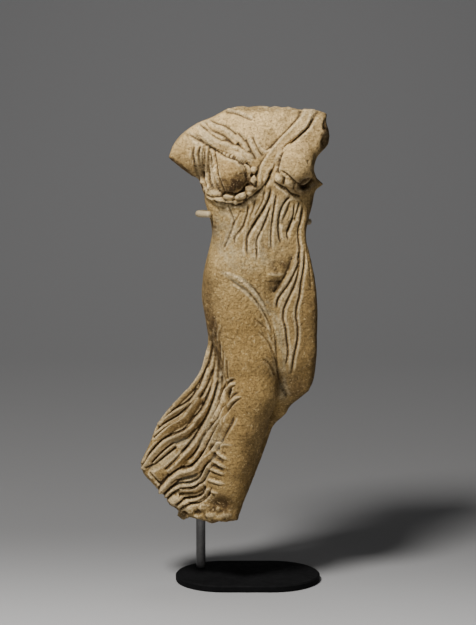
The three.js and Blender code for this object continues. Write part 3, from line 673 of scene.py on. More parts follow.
TRAILING_CUTS = [
    (1.2, 0.55, [(-22.2, 66), (-24.2, 64), (-26.6, 62.1), (-29, 60.8), (-32, 59.7), (-36, 57.8)]),
    (0.7, 0.5, [(-15.2, 80), (-16.8, 75.8), (-18, 72.6), (-19.8, 69.2)]),
    (0.6, 0.5, [(-21.8, 62.8), (-24.6, 60.3), (-27.8, 58.5)]),
    (0.9, 0.5, [(-30.6, 57), (-33.5, 54.9), (-36, 52.8), (-38, 51), (-40.2, 48.8)]),
    (1.1, 0.7, [(-19.4, 53.4), (-20.8, 50.6), (-22.6, 47.8), (-25, 46.1), (-28.4, 45.2)]),
    (1.2, 0.55, [
        (-16.4, 49.6), (-18.6, 46.4), (-19.8, 43.6), (-20.8, 41.3), (-22.4, 40), (-24.4, 39.3),
        (-27.4, 38.9),
    ]),
    (0.7, 0.45, [(-21.2, 43.8), (-24, 41.9), (-27, 41.2), (-30.4, 40.9), (-32.8, 39)]),
    (0.8, 0.4, [(-19.4, 40.4), (-20.8, 38.8), (-22.4, 38), (-25, 37.6), (-28, 37.8)]),
    (0.5, 0.5, [(-22.6, 35.7), (-27, 35.1), (-31.4, 35)]),
    (1.2, 0.55, [(-18, 36), (-20, 34.2), (-22.4, 33.3), (-25, 33), (-28.4, 33.8)]),
    (1.2, 0.5, [(-41.4, 44.6), (-39.8, 42.4), (-38.2, 40.2), (-36.6, 38)]),
    (0.6, 0.5, [(-9.6, 65.6), (-11.2, 62), (-12.6, 59), (-14, 56.4)]),
]
TRAILING_STRINGS = [
    (0.8, 0.7, [(-15.4, 103), (-15.2, 98), (-16.2, 89), (-18.2, 82), (-21, 77.6)]),
    (0.9, 0.7, [(-13.8, 104), (-13.6, 98), (-14, 90), (-15, 82.6), (-17, 76)]),
    (0.9, 0.7, [(-12.2, 101), (-12, 95), (-12.2, 88), (-12.8, 80.6), (-14.4, 74)]),
    (0.9, 0.6, [(-10.6, 97), (-10.6, 91), (-10.8, 86), (-10.8, 81), (-12.4, 76.4)]),
    (0.7, 0.6, [(-9, 92), (-9, 87), (-8.6, 82.6)]),
]

# The edges of layers of cloth on the chest, and last the broken edge of the lowest fold: the raised
# edge's height and reach, the depth and width of the line under it, and its way.
LIPS = [
    (0.7, 2.2, 1.1, 0.65, [
        (-26, 187.2), (-22.7, 185.4), (-18.6, 183.2), (-15.4, 180.9), (-11.5, 178.7), (-6.8, 177),
        (-3.6, 176.2), (-0.6, 174.6), (2, 173),
    ]),
    (0.9, 1.6, 0.6, 0.6, [(-9.6, 196), (-5, 195.2), (-1.5, 193.8), (2.4, 192.2)]),
    (0.9, 1.1, 0.3, 0.5, [(11.6, 182.4), (9.9, 180.5), (7.6, 179.4), (6.1, 180.2), (4.2, 183.6)]),
    (0.8, 1.2, 0.8, 0.8, [
        (-17.2, 35), (-18.4, 33.4), (-21, 32), (-23.6, 31), (-26, 31.6), (-27.6, 30.4),
    ]),
]
# Ridges: height, width and way.
RIDGES = [
    (0.5, 0.7, [(9.8, 168), (10.9, 166.2), (12.6, 164), (14.8, 162.6), (17.4, 160.4)]),
    (0.5, 0.35, [(-5.8, 164.6), (-6, 162), (-6, 160.8)]),
    (0.5, 0.9, [(-11, 128.6), (-6, 126.8), (-2, 124), (2, 120.6), (6, 115.8), (9, 110)]),
]

# Folds: height, how wide each falls away on its left and right, and its way. They are rolls of cloth
# across the chest, folds beside the right armpit, short ones on the knee and the shank, and the
# crests of the trailing cloth.
CHEST_ROLLS = [
    (1.1, 1, 3.4, [
        (-22, 190.6), (-19.5, 188.5), (-16.8, 186.4), (-14.2, 184.4), (-11.5, 183), (-8, 181.8),
        (-5, 180.7), (-2.4, 179.4), (0.2, 177.6), (3.4, 175.6),
    ]),
    (0.6, 0.8, 1.5, [(-19.4, 192), (-17.2, 189), (-15.2, 187.2), (-12.6, 185.6), (-9.4, 184)]),
    (1, 1, 2.8, [
        (-17.8, 192.2), (-13.9, 189.8), (-10.6, 188.8), (-7.7, 187), (-5.4, 184.8), (-3.4, 182),
    ]),
    (0.6, 1.1, 1.7, [(-5.4, 186), (-3.4, 184), (-1.6, 181.4), (0.2, 178.6)]),
    (0.6, 1.2, 1.7, [(0.4, 185.2), (1.8, 182), (3.2, 179.2), (4.9, 176)]),
]
ARMPIT_FOLDS = [
    (0.9, 1.3, 0.9, [
        (-21.4, 182), (-22, 178), (-21.2, 173.6), (-20, 169.6), (-18.9, 166), (-17.6, 162.2),
    ]),
    (0.6, 0.6, 0.6, [(-19.2, 182), (-19.9, 177.4), (-19.4, 172.6), (-18.2, 169.4)]),
    (1, 0.8, 0.8, [(-17.3, 182), (-17.3, 177), (-17.3, 171), (-17.2, 167), (-15.4, 161.6)]),
    (0.6, 0.6, 0.6, [(-16, 178.6), (-15.8, 173), (-15.3, 168.6), (-13.8, 163)]),
    (1.2, 0.9, 0.8, [(-15.4, 180.4), (-14.3, 175), (-13.9, 170.5), (-12.3, 165.4), (-10.6, 161.4)]),
    (0.9, 0.9, 0.7, [(-4, 177), (-0.8, 174), (0.5, 170.6), (0.6, 166.6)]),
]
KNEE_FOLDS = [
    (0.9, 0.7, 1.6, [(-4.2, 81.6), (-7, 80.8), (-9.2, 78), (-10.6, 73.6)]),
    (1, 0.8, 1.8, [(-1.8, 76.4), (-5, 75.2), (-7.6, 72.6), (-9.8, 69), (-11.4, 64.4)]),
]
SHANK_FOLDS = [
    (0.5, 1.8, 1, [(-13, 55.2), (-9, 55.8), (-5, 55.2)]),
    (0.9, 1.5, 0.9, [(-15, 53.4), (-12.4, 51.9), (-10, 50.2), (-7.6, 49.6)]),
    (1, 1.5, 0.9, [(-15.6, 49.4), (-13, 48.2), (-10.6, 46.7), (-8, 46)]),
    (1, 1.4, 0.9, [(-17, 46.1), (-14, 45), (-11.2, 43.8), (-8.8, 43.2)]),
    (0.9, 1.4, 0.9, [(-17.2, 41.2), (-14, 40.2), (-11.2, 39.5), (-8.6, 39.6)]),
    (0.7, 1.3, 0.8, [(-17.2, 37), (-14.4, 35.8), (-11.8, 35.2)]),
]
TRAILING_CRESTS = [
    (0.5, 1.8, 2, [(-16.8, 100), (-18, 92), (-20.6, 86), (-24.6, 79.6), (-28.4, 76), (-32, 72.4)]),
    (0.9, 1.6, 1.3, [
        (-16.2, 89), (-17.6, 84), (-19.6, 79.4), (-22.4, 75.2), (-26, 72.2), (-30.4, 69.7), (-34, 67.3),
        (-38, 64),
    ]),
    (0.9, 0.8, 1.5, [
        (-19.4, 80.4), (-21.6, 76.4), (-23.6, 73), (-25.6, 69.8), (-28, 67.4), (-31.4, 65.4),
        (-34.6, 63.6), (-39.6, 59.6),
    ]),
    (0.7, 2.8, 0.8, [
        (-20, 77.4), (-22.6, 73.6), (-24.8, 70.6), (-26.6, 68), (-29, 66), (-32, 64.4), (-35, 62.2),
        (-39.6, 58),
    ]),
    (1.3, 2.6, 1.2, [
        (-13.6, 80.4), (-16, 75.4), (-17.4, 72.2), (-19.6, 68.6), (-21.8, 66.2), (-23.8, 63.9),
        (-26.6, 61.2), (-30, 59.7), (-33.4, 58.2), (-36.4, 56), (-39, 53.2), (-41.6, 50), (-44.6, 45),
    ]),
    (0.3, 1.2, 0.8, [(-30.4, 56.2), (-33, 54.3), (-36, 51.8), (-40.2, 47.6)]),
    (0.5, 5, 3, [(-27.6, 53), (-29.8, 51.2), (-32, 49.5), (-35, 47.2), (-38, 45.2), (-42, 43.2)]),
    (1, 2.4, 1.5, [
        (-10.2, 82.2), (-12.4, 77), (-14, 72.6), (-15.6, 68.6), (-17.4, 64.6), (-19.6, 60.6), (-22, 56.8),
        (-24.4, 53.8), (-27.4, 50.8), (-30.4, 47.6), (-34.4, 43.8),
    ]),
    (0.7, 1.3, 1, [(-8.2, 80.4), (-10.2, 76), (-12, 72.2), (-13.6, 69), (-15.8, 65)]),
    (0.7, 1.5, 1.1, [
        (-9.6, 73.6), (-11, 69.6), (-12.6, 66.4), (-14.8, 63), (-17, 60.2), (-18.8, 57), (-20.2, 53.8),
        (-22.4, 50.2),
    ]),
    (1.5, 2.6, 1.6, [
        (-7.4, 71), (-9.4, 67), (-11.4, 63.6), (-13.6, 59.8), (-15.6, 56), (-17.2, 52.8), (-19, 50),
        (-21, 47.4), (-23.2, 45.4), (-26, 44.7), (-29, 43.8), (-32, 41.6), (-34.4, 38.8), (-38, 34.6),
    ]),
    (0.9, 0.9, 0.9, [(-12.2, 57.4), (-13.6, 55.2), (-15.6, 52.6), (-18.4, 49.8)]),
    (1.2, 1, 1.3, [
        (-15, 48.6), (-17, 46), (-18.2, 43.8), (-19.4, 41.5), (-21.2, 39.9), (-23.6, 38.7), (-26.4, 38.3),
        (-29, 37.9), (-31.6, 36.6), (-35, 33.6),
    ]),
    (0.7, 2, 0.8, [(-19.8, 39.8), (-20.8, 38.2), (-22.4, 37.2), (-25, 36.9), (-29, 37)]),
    (0.9, 1.2, 1.3, [
        (-16.6, 38.6), (-17.8, 35.4), (-19.4, 33.7), (-21.6, 32.6), (-24.4, 32.1), (-27, 31.3),
        (-29.4, 29.6),
    ]),
]
# Each set of folds: the valleys' depth, how sharp the folds are, the slits' depth and the fades.
FOLD_SETS = [
    (CHEST_ROLLS, 0.7, 0.7, 0.3, (0.12, 0.1)),
    (ARMPIT_FOLDS, 0.7, 0.8, 0.3, (0.15, 0.1)),
    (KNEE_FOLDS, 0.5, 0.8, 0.3, (0.3, 0.1)),
    (SHANK_FOLDS, 0.2, 0.9, 0, (0.1, 0.5)),
    (TRAILING_CRESTS, 1.3, 0.75, 0.7, (0.1, 0.02)),
]

# Lumps, and pits where the height is negative: height, half length, half width, place and turn.
# They are the gathers under the breasts, a few on the body and the trailing cloth, and chips.
RUFFLE_BEADS = [
    (1.7, 2.1, 0.95, -7.9, 159.8, 0), (1.8, 2.3, 1.15, -2.9, 160.2, 20), (0.9, 1.5, 0.6, -7.6, 158.1, 0),
    (0.9, 1, 0.7, -5.2, 157.6, 0), (1.1, 2.2, 0.7, -12, 158.6, -8), (0.8, 1.8, 0.7, -12, 156.8, -14),
    (0.7, 1.7, 0.7, -5.4, 156, 0), (1.9, 1.7, 1.3, 0.9, 163.2, 0), (1.3, 1.3, 0.8, 0.7, 161.3, 0),
    (1.5, 1, 1.5, 2.3, 167, 0), (1.5, 1.4, 1.2, 2.2, 171, 10), (-0.9, 0.9, 0.7, 1.4, 169, 0),
    (1.3, 1.5, 1.9, 12.9, 167.8, 10), (1.2, 1.8, 1.2, 17.2, 165.6, -35), (1.2, 1.6, 1.1, 21.3, 163, -25),
    (-1.5, 3.4, 1.6, 24.8, 165.6, 30),
]
BODY_BEADS = [
    (-1.3, 0.8, 1.7, -18.8, 169.2, 12), (0.6, 1.1, 1.1, -16.8, 163.2, 0), (0.6, 1, 1, -14.4, 162, 0),
    (0.6, 0.9, 0.9, -12.2, 161.6, 0), (0.6, 1, 1, -19.4, 165.8, 0), (0.6, 0.8, 0.8, -18, 162.6, 0),
    (0.4, 3.2, 1, 11.3, 127.4, 0),
]
TRAILING_BEADS = [
    (-1.2, 1.4, 0.7, -15.4, 54.6, 55), (0.7, 1.5, 1.1, -38.8, 39, -50), (1, 3, 2.2, -31, 32.8, 20),
    (0.5, 1, 0.9, -12.6, 82.8, 0), (0.6, 1, 0.9, -11.2, 85, 0), (-0.6, 0.8, 0.8, -18.4, 72.4, 0),
]
BREAK_BEADS = [
    (-1.4, 4.2, 3.4, -12, 30.2, 20), (0.7, 1.4, 1, -12.6, 28.6, 0), (0.9, 2, 1.4, -18.4, 29.6, 20),
    (1.5, 3.2, 2.4, -29.4, 32, -30), (1, 2.2, 1.8, -24.4, 28.6, 0), (-1.1, 1.5, 1.2, -26.8, 26.8, 0),
    (-1.2, 1.4, 1.4, -21.4, 27.4, 30), (0.8, 1.6, 1.2, -16, 26.2, 0), (0.7, 2, 1, -9, 26.4, 0),
    (-0.7, 1.2, 2.6, 32.4, 190, 0), (-0.7, 1.4, 1.6, 31.8, 183, 0), (0.6, 1, 1.6, 32, 186.6, 0),
]

# Grooves down the back: how many, their depth and width, and the first and the last.
BACK_CUTS = [
    (4, 0.5, 1.6, [(-22, 184), (-14, 172), (-6, 162)], [(26, 186), (16, 172), (8, 160)]),
    (7, 0.9, 1.6,
     [(-14, 156), (-12, 140), (-15, 118), (-14, 96)], [(22, 156), (22, 140), (24, 118), (24, 90)]),
    (6, 1, 1.8, [(-14, 92), (-19, 78), (-30, 62), (-38, 50)], [(12, 90), (4, 68), (-6, 48), (-12, 30)]),
]


def carve(front, back):
    """Adds every stroke to the relief of the front and of the back."""
    front.band(0.9, 2.4, 0.35, STRAP)
    front.cut(1.2, 0.6, STRAP_EDGE, (0.05, 0.06))
    cuts = CHEST_CUTS + RIGHT_BREAST_CUTS + LEFT_BREAST_CUTS + TORSO_CUTS + HIP_CUTS + THIGH_CUTS
    for cut in cuts + TRAILING_CUTS + TRAILING_STRINGS:
        front.cut(*cut)
    for lip in LIPS:
        front.lip(*lip)
    for ridge in RIDGES:
        front.ridge(*ridge)
    for folds in FOLD_SETS:
        front.crests(*folds)
    for bead in RUFFLE_BEADS + BODY_BEADS + TRAILING_BEADS + BREAK_BEADS:
        front.bead(*bead)
    for cuts in BACK_CUTS:
        back.cuts_between(*cuts)


class Noise:
    """Smooth noise on a lattice of seeded random values."""

    SIZE = 32

    def __init__(self, seed):
        self.values = np.random.default_rng(seed).uniform(-1, 1, (self.SIZE,) * 3)

    def __call__(self, p, scale):
        q = p / scale
        base = np.floor(q).astype(int)
        f = q - base
        f = f * f * (3 - 2 * f)
        total = 0
        for corner in np.ndindex(2, 2, 2):
            i, j, k = ((base + corner) % self.SIZE).T
            total = total + np.prod(np.where(corner, f, 1 - f), axis=-1) * self.values[i, j, k]
        return total


def oval(u, v, at, radii, edge=0.5):
    """A soft oval mask on the front view."""
    far = np.hypot((u - at[0]) / radii[0], (v - at[1]) / radii[1])
    return 1 - smoothstep(1 - edge, 1 + edge, far)


def blurred(values, passes):
    """The grid's values, smoothed round the rings and along the columns."""
    for _ in range(passes):
        values = smoothed(values, 1)
        values = 0.25 * np.roll(values, 1, axis=1) + 0.5 * values + 0.25 * np.roll(values, -1, axis=1)
    return values


def carved_figure():
    """The figure's points after carving, and the fields that its material's masks come from."""
    grid, poles = figure_grid()
    points = np.concatenate([grid.reshape(-1, 3), poles])
    normals = np.concatenate([grid_normals(grid, poles).reshape(-1, 3), [[0, 0, -1], [0, 0, 1]]])
    u, v = seen(points)
    facing = -normals @ FORWARD
    front = Relief(u, v, smoothstep(0.02, 0.35, facing))
    back = Relief(u, v, smoothstep(0.02, 0.4, -facing))
    carve(front, back)

    noise = Noise(7)
    broken = smoothstep(-0.8, -0.2, break_heights(points).max(axis=0))
    crusty = 0.6 * oval(u, v, (-21, 173), (2.6, 10)) + 0.6 * oval(u, v, (-15, 163), (4, 3))
    crusty += oval(u, v, (-19, 28), (13, 4.6))
    streaks = smoothstep(112, 124, v) * (1 - smoothstep(156, 166, v)) + 0.6 * oval(u, v, (-12, 94), (5, 14))
    wrinkles = noise(points / (1, 1, 4.5), 1.3) + 0.6 * noise(points / (1, 1, 3) + 20, 0.9)
    uneven = 0.09 * noise(points, 5.0) + 0.07 * noise(points + 40, 1.7) + 0.13 * streaks * wrinkles
    rough = (broken + crusty) * (0.35 * noise(points, 2.4) + 0.25 * noise(points, 1.1))
    height = front.height + back.height + rough
    points = points + normals * (height + uneven)[:, None]

    rings = height[:-2].reshape(grid.shape[:2])
    depths = [np.append((blurred(rings, times) - rings).reshape(-1), [0, 0]) for times in BLURS]
    return points, depths, broken, (u, v, facing)


def put(name, data):
    """A new object of the scene with this data."""
    thing = bpy.data.objects.new(name, data)
    bpy.context.scene.collection.objects.link(thing)
    return thing


def smooth_mesh(name, points, faces, material):
    """An object of the scene with smooth faces between points in millimetres."""
    mesh = bpy.data.meshes.new(name)
    mesh.from_pydata((np.asarray(points) * MM).tolist(), [], faces)
    mesh.polygons.foreach_set("use_smooth", [True] * len(mesh.polygons))
    mesh.update()
    mesh.materials.append(material)
    return put(name, mesh)


def new_piece(name, points, faces, material, slot, *nodes):
    piece = smooth_mesh(name, points, faces, material)
    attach(piece, "root")
    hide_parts(*nodes)
    return piece


def colour(red, green, blue):
    """A linear colour from 8-bit screen values."""
    def linear(value):
        value /= 255
        return value / 12.92 if value <= 0.04045 else ((value + 0.055) / 1.055) ** 2.4
    return (linear(red), linear(green), linear(blue), 1)


class Nodes:
    """A material's node tree, with short ways to add and join its nodes."""

    # The mix node's sockets for two colours and for the result.
    MIX_A, MIX_B, MIX_RESULT = 6, 7, 2

    def __init__(self, name):
        self.material = bpy.data.materials.new(name)
        self.material.use_nodes = True
        self.tree = self.material.node_tree
        self.shader = self.tree.nodes["Principled BSDF"]

    def feed(self, target, value):
        """Joins a socket to the target, or sets the target to a number or colour."""
        if isinstance(value, bpy.types.NodeSocket):
            self.tree.links.new(value, target)
        else:
            target.default_value = value

    def add(self, kind, output, inputs, **settings):
        """A new node of this kind, with these settings and inputs. It gives back the named output."""
        node = self.tree.nodes.new("ShaderNode" + kind)
        for key, value in settings.items():
            setattr(node, key, value)
        for key, value in inputs.items():
            self.feed(node.inputs[key], value)
        return node.outputs[output]

    def surface(self, **values):
        """Feeds the shader's inputs, named with _ for each space."""
        for key, value in values.items():
            self.feed(self.shader.inputs[key.replace("_", " ")], value)

    def spot(self):
        return self.add("TexCoord", "Object", {})

    def noise(self, scale, detail=4, rough=0.55, offset=0):
        spot = self.spot()
        if offset:
            spot = self.add("VectorMath", 0, {0: spot, 1: (offset,) * 3}, operation="ADD")
        inputs = {"Vector": spot, "Scale": scale, "Detail": detail, "Roughness": rough}
        return self.add("TexNoise", "Fac", inputs)

    def span(self, value, low, high, to_low=0, to_high=1):
        inputs = {"Value": value, "From Min": low, "From Max": high, "To Min": to_low, "To Max": to_high}
        return self.add("MapRange", "Result", inputs, interpolation_type="SMOOTHSTEP")

    def mix(self, factor, a, b, blend="MIX"):
        inputs = {"Factor": factor, self.MIX_A: a, self.MIX_B: b}
        return self.add("Mix", self.MIX_RESULT, inputs, data_type="RGBA", blend_type=blend)

    def cover(self, below, mask, share, tint):
        """A colour laid over another where a mask of the mesh lets it, at most by a share."""
        here = self.add("Attribute", "Fac", {}, attribute_name=mask)
        here = self.add("Math", 0, {0: here, 1: share}, operation="MULTIPLY")
        return self.mix(here, below, colour(*tint))

    def bump(self, height, strength, distance, under=None):
        inputs = {"Height": height, "Strength": strength, "Distance": distance}
        if under:
            inputs["Normal"] = under
        return self.add("Bump", "Normal", inputs)


def terracotta():
    n = Nodes("terracotta")
    clay = n.mix(n.span(n.noise(110, 5, 0.6), 0.36, 0.64), colour(166, 138, 88), colour(188, 158, 102))
    clay = n.cover(clay, "ochre", n.span(n.noise(150, 5, 0.65, 1.1), 0.32, 0.62, 0.45, 1), (170, 138, 82))
    clay = n.cover(clay, "pale", n.span(n.noise(170, 5, 0.65, 0.7), 0.3, 0.6, 0.25, 1), (250, 214, 152))
    # Painted shade: dark brown in the hollows of the relief, darkest in the deep and wide ones.
    clay = n.cover(clay, "hollow", 0.94, (66, 48, 28))
    # Painted highlights: pale on the crests and sharp edges of the relief.
    clay = n.cover(clay, "crest", 0.74, (248, 222, 172))
    # Dark brown for real stains and for painted shade and shadow.
    clay = n.cover(clay, "stain", n.span(n.noise(260, 5, 0.65, 1.7), 0.28, 0.56, 0.2, 1), (84, 62, 34))
    # Break faces are darker brown: partly the raw clay of the breaks, partly painted shade on those that
    # face down or aside.
    clay = n.cover(clay, "broken", n.span(n.noise(300, 4, 0.6, 2.3), 0.3, 0.62, 0.3, 0.85), (104, 80, 48))
    clay = n.cover(clay, "deposit", n.span(n.noise(420, 5, 0.7, 2.9), 0.34, 0.6), (206, 194, 160))
    grains = n.span(n.noise(1100, 4, 0.7, 3.1), 0.32, 0.68)
    clay = n.mix(0.7, clay, n.mix(grains, colour(176, 172, 166), colour(255, 255, 255)), "MULTIPLY")
    clay = n.mix(n.span(n.noise(800, 4, 0.7, 3.7), 0.56, 0.64, 0, 0.6), clay, colour(84, 62, 34))
    clay = n.mix(n.span(n.noise(840, 4, 0.7, 4.3), 0.57, 0.66, 0, 0.45), clay, colour(222, 194, 142))
    grain = n.bump(n.noise(1500, 6, 0.75), 0.6, 0.0004)
    pits = n.bump(n.span(n.noise(640, 5, 0.65, 5.1), 0.36, 0.6), 0.7, 0.0006, grain)
    n.surface(Base_Color=clay, Roughness=0.85, Specular_IOR_Level=0.25, Normal=pits)
    return n.material


def painted_metal(name, base, other, roughness, metallic, shine=0.5):
    """Brushed-on paint or bare metal with a little unevenness."""
    n = Nodes(name)
    tint = n.mix(n.span(n.noise(220, 4, 0.6), 0.35, 0.65), colour(*base), colour(*other))
    worn = n.span(n.noise(500, 3, 0.5, 1.3), 0.3, 0.7, roughness - 0.08, roughness + 0.08)
    uneven = n.bump(n.noise(1400, 3, 0.5, 2.1), 0.15, 0.0002)
    n.surface(Base_Color=tint, Roughness=worn, Metallic=metallic, Specular_IOR_Level=shine, Normal=uneven)
    return n.material


# Patches of colour on the front: u, v, half width, half height and strength.
PALE_PATCHES = [
    (-14, 188, 16, 9, 0.7), (16, 188, 14, 10, 0.6), (5, 187, 14, 7, 0.8), (20, 174, 8, 7, 0.3),
]
OCHRE_PATCHES = [
    (0, 92, 13, 26, 0.9), (-5, 44, 8, 24, 0.8), (25, 104, 6, 30, 0.8), (-28, 50, 14, 20, 0.5),
    (-30, 176, 5, 5, 0.6), (-6.4, 169, 6.6, 8, 0.9),
]
# Dark patches: real stains, and painted shade and shadow under the breasts, the arm's stump and the low
# belly, under the cradle, in the trailing cloth and down the sides that turn from the light.
STAINS_AND_SHADES = [
    (-4.5, 165.4, 7, 3.8, 1), (-11, 164, 4, 3, 0.7), (-2.4, 168, 2.6, 3, 0.7), (-14.4, 104, 1.6, 9, 0.6),
    (-12.4, 93, 1.5, 9, 0.6), (11, 123.2, 3.4, 3.2, 0.8), (-11.6, 29.8, 5.6, 4.2, 0.8),
    (10, 88, 3, 10, 0.3), (24, 165.6, 4.4, 2.4, 0.9), (22, 162, 4, 2, 0.6), (-19.4, 120, 4.4, 20, 0.45),
    (-30, 171, 7, 7, 0.4), (13, 130.6, 4, 3, 1), (-14.2, 147.4, 2, 4, 0.8), (-15, 112, 5, 13, 0.22),
    (-26, 66, 9, 13, 0.4), (22, 106, 6, 26, 0.26), (8, 64, 5, 9, 0.4), (19, 80, 7, 5, 0.5),
    (30, 110, 3.4, 40, 0.5), (1, 52, 4, 16, 0.4),
]
DEPOSITS = [
    (-9.6, 146, 5, 11, 0.34), (-2, 134, 11, 6, 0.26), (8, 141, 8, 8, 0.2), (15, 78, 2.4, 4, 0.3),
    (-28, 57, 5, 1.5, 0.5), (-13, 60, 2, 8, 0.4), (-21, 173, 2, 9, 0.15), (-15, 163, 3, 2, 0.1),
    (-24, 42, 5, 1.4, 0.4), (14, 152, 2, 6, 0.2),
]
# Pale deposit beside the right thigh and between the lowest folds: strength, half width and way.
PALE_LINES = [
    (0.5, 0.7, [(-5, 127), (-0.8, 124.1), (3.3, 118.9), (8.5, 111.9), (11.6, 105), (13.2, 98)]),
    (0.5, 0.7, [(8, 116), (12.4, 108), (13.8, 100), (15, 91), (15.4, 82), (14.6, 77)]),
    (0.4, 0.7, [(-10.7, 128.2), (-4.9, 124), (1.5, 117.7), (6.7, 111.9)]),
    (0.5, 1, [(-11, 86), (-12, 80), (-14.4, 72), (-17, 63), (-20, 56)]),
    (0.5, 1.2, [(-28, 53), (-34, 49.4), (-40, 45.6)]),
    (0.5, 0.9, [(-15.4, 50), (-18, 43), (-22, 40), (-29, 39)]),
]
# Darker brown streaks beside the thigh, and painted shade along the edges that face down or away, listed
# likewise.
SHADE_AND_DIRT_LINES = [
    (1, 2, [(-33, 174.6), (-28, 170.4), (-22, 165), (-19.4, 160)]),
    (0.9, 2, [(-17.2, 112), (-15.6, 104), (-13.8, 97), (-11.6, 88)]),
    (0.5, 0.6, [(-14.4, 108), (-13.4, 101), (-12, 95), (-10.4, 88)]),
    (0.6, 1.4, [(33, 194), (33.4, 187), (31, 179.6), (28.4, 174)]),
    (0.7, 1.4, [(27, 160), (25.4, 150), (25, 142)]),
    (0.7, 1.7, [(28.6, 128), (29.4, 108), (28.6, 94), (26, 80), (17, 71.4)]),
    (0.6, 2.4, [(12.4, 66), (7.6, 56), (2, 41), (-3.4, 26)]),
]


def lines(u, v, table):
    """A mask along the ways, fading over their half widths."""
    mask = np.zeros(u.shape)
    for strength, width, way in table:
        away = near_line(u, v, smooth_line(way, OUTLINE_PIECES))[0]
        mask = np.maximum(mask, strength * np.exp(-((away / width) ** 2)))
    return mask


def patches(u, v, table):
    return np.clip(sum(strength * oval(u, v, (a, b), (ra, rb)) for a, b, ra, rb, strength in table), 0, 1)


def make_statuette():
    points, (fine, depth, wide), broken, (u, v, facing) = carved_figure()
    faces = tube_faces(LOW_RINGS + BODY_RINGS + TOP_RINGS, COLUMNS)
    piece = new_piece("statuette_terracotta", points, faces, terracotta(), "terracotta", "statuette")
    front = smoothstep(-0.1, 0.2, facing)
    # Painted shade along the edges that turn from the light, and darker streaks beside the thigh.
    edges = smoothstep(-0.3, 0.1, facing) * lines(u, v, SHADE_AND_DIRT_LINES)
    masks = {
        # Painted shade in the hollows of the relief.
        "hollow": np.clip(smoothstep(0.06, 0.36, depth) + 0.6 * smoothstep(0.2, 1, wide), 0, 1),
        # Painted highlights on the relief's crests and fine edges.
        "crest": np.maximum(0.34 * smoothstep(0.05, 0.3, -depth), smoothstep(0.03, 0.13, -fine)),
        # The neck's break, which faces up, keeps most of its pale colour; the other breaks are darker,
        # partly painted shade.
        "broken": broken * (1 - 0.7 * smoothstep(192, 195, v)),
        "pale": np.clip(0.3 * smoothstep(140, 175, v) + front * patches(u, v, PALE_PATCHES), 0, 1),
        "ochre": front * patches(u, v, OCHRE_PATCHES),
        # Real stains together with painted shade and shadow, in patches and along edges that turn from the
        # light.
        "stain": np.maximum(front * patches(u, v, STAINS_AND_SHADES), edges),
        "deposit": front * np.maximum(patches(u, v, DEPOSITS), lines(u, v, PALE_LINES)),
    }
    for name, values in masks.items():
        attribute = piece.data.attributes.new(name, "FLOAT", "POINT")
        attribute.data.foreach_set("value", np.ascontiguousarray(values, dtype=np.float32))


def round_bar(way, radius_at, sides):
    """Points and faces of a round bar along a line, closed at both ends."""
    ahead = np.gradient(way, axis=0)
    ahead /= np.linalg.norm(ahead, axis=1)[:, None]
    across = np.cross(ahead[0], (0.3, 0.2, 0.9))
    points = []
    for centre, along, share in zip(way, ahead, np.linspace(0, 1, len(way))):
        across = across - along * (across @ along)
        across /= np.linalg.norm(across)
        other = np.cross(along, across)
        for turn in 2 * math.pi * np.arange(sides) / sides:
            points.append(centre + radius_at(share) * (across * math.cos(turn) + other * math.sin(turn)))
    return points + [way[0], way[-1]], tube_faces(len(way), sides)


def make_rod():
    points, faces = round_bar(even_line(ROD_WAY, ROD_POINTS), lambda share: ROD_RADIUS, ROD_SIDES)
    material = painted_metal("rod_steel", (122, 121, 120), (102, 101, 101), 0.45, 0.4)
    new_piece("rod_steel", points, faces, material, "grey_rod", "support_rod")


def make_cradle():
    way = []
    for (degrees, off), height in zip(CRADLE_WAY, np.linspace(CRADLE_HIGH, CRADLE_LOW, len(CRADLE_WAY))):
        start = np.array([[WAIST_X, WAIST_Y, height]])
        out = ray_direction(np.array([math.radians(degrees)]), 0)
        reach = surface_along(start, out)
        way.append((start + out * (reach[:, None] + CRADLE_RADIUS + CLEARANCE + off))[0])

    def radius(share):
        tip = min(share, 1 - share) * CRADLE_LENGTH / CRADLE_RADIUS
        return CRADLE_RADIUS * math.sqrt(max(0.02, 1 - (1 - min(1, tip)) ** 2))
    points, faces = round_bar(even_line(way, CRADLE_POINTS), radius, CRADLE_SIDES)
    material = painted_metal("cradle_paint", (184, 166, 130), (166, 148, 114), 0.55, 0)
    new_piece("cradle_bar", points, faces, material, "painted_cradle", "waist_cradle")


def paint_plate():
    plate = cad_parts["foot_plate"]
    plate.data.materials.clear()
    # Painted shadow: the plate is near black and barely shiny so that it reads as the dark shadow under the
    # figure.
    plate.data.materials.append(painted_metal("plate_shadow_black", (12, 12, 13), (17, 17, 18), 0.8, 0, 0.1))


# The floor runs back to FLOOR_END and curves up from there into a backdrop. Its tone darkens over
# the depths FLOOR_TONES, in metres.
FLOOR_START, FLOOR_END, SWEEP, SWEEP_STEPS = -2500.0, 500.0, 700.0, 24
FLOOR_SIDE, BACKDROP_HEIGHT = 3000.0, 3500.0
FLOOR_TONES = (-0.14, 0.1)


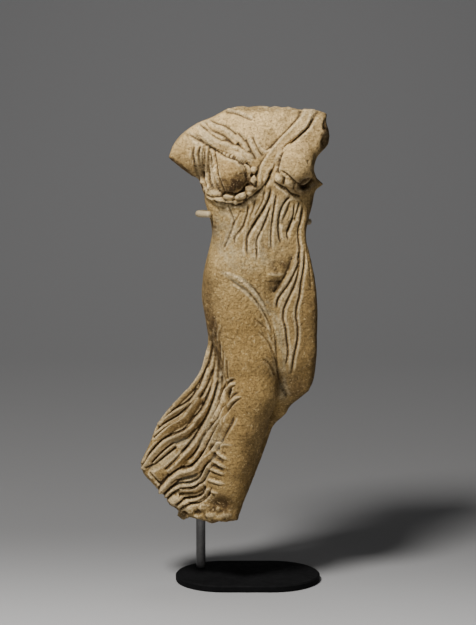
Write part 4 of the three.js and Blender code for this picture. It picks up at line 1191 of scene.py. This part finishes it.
def make_floor():
    """A plain floor, paler in front, that curves up into a backdrop behind the figure."""
    profile = [(FLOOR_START, 0), (FLOOR_END, 0)]
    for turn in np.linspace(0.05, math.pi / 2, SWEEP_STEPS):
        profile.append((FLOOR_END + SWEEP * math.sin(turn), SWEEP - SWEEP * math.cos(turn)))
    profile.append((FLOOR_END + SWEEP, BACKDROP_HEIGHT))
    points = [(side * FLOOR_SIDE, y, z) for y, z in profile for side in (-1, 1)]
    faces = [(2 * i, 2 * i + 1, 2 * i + 3, 2 * i + 2) for i in range(len(profile) - 1)]
    n = Nodes("pale_floor")
    far = n.span(n.add("SeparateXYZ", "Y", {0: n.spot()}), *FLOOR_TONES)
    n.surface(Base_Color=n.mix(far, (0.52, 0.52, 0.525, 1), (0.2, 0.2, 0.203, 1)), Roughness=0.9)
    floor = smooth_mesh("floor", points, faces, n.material)


def aim(thing, place_mm, target_mm):
    thing.location = Vector(place_mm) * MM
    thing.rotation_euler = (Vector(target_mm) - Vector(place_mm)).to_track_quat("-Z", "Y").to_euler()


def make_camera():
    data = bpy.data.cameras.new("camera")
    data.sensor_fit = "VERTICAL"
    data.sensor_height = 24
    data.lens = data.sensor_height * DISTANCE / FRAME_HEIGHT
    data.clip_start, data.clip_end = 0.01, 20
    camera = put("camera", data)
    aim(camera, EYE, (VIEW_U, FIGURE_Y, VIEW_Z))
    bpy.context.scene.camera = camera


def add_area_light(name, place_mm, target_mm, size_mm, power, spread=180, tint=(1, 1, 1)):
    data = bpy.data.lights.new(name, "AREA")
    data.shape = "DISK"
    data.size = size_mm * MM
    data.energy = power
    data.spread = math.radians(spread)
    data.color = tint
    aim(put(name, data), place_mm, target_mm)


def make_lights():
    add_area_light("key", (-205, -342, 640), (0, 0, 110), 160, 7.2, tint=(1, 0.98, 0.95))
    add_area_light("fill", (-120, -900, 260), (0, 0, 110), 350, 0.9)
    add_area_light("backdrop", (0, 500, 1100), (0, 900, 0), 500, 1.5, spread=110)
    world = bpy.data.worlds.new("studio")
    world.use_nodes = True
    sky = world.node_tree.nodes["Background"].inputs
    sky["Color"].default_value = (0.5, 0.5, 0.52, 1)
    sky["Strength"].default_value = 0.03
    bpy.context.scene.world = world


make_camera()
make_lights()
make_floor()
make_statuette()
make_rod()
make_cradle()
paint_plate()
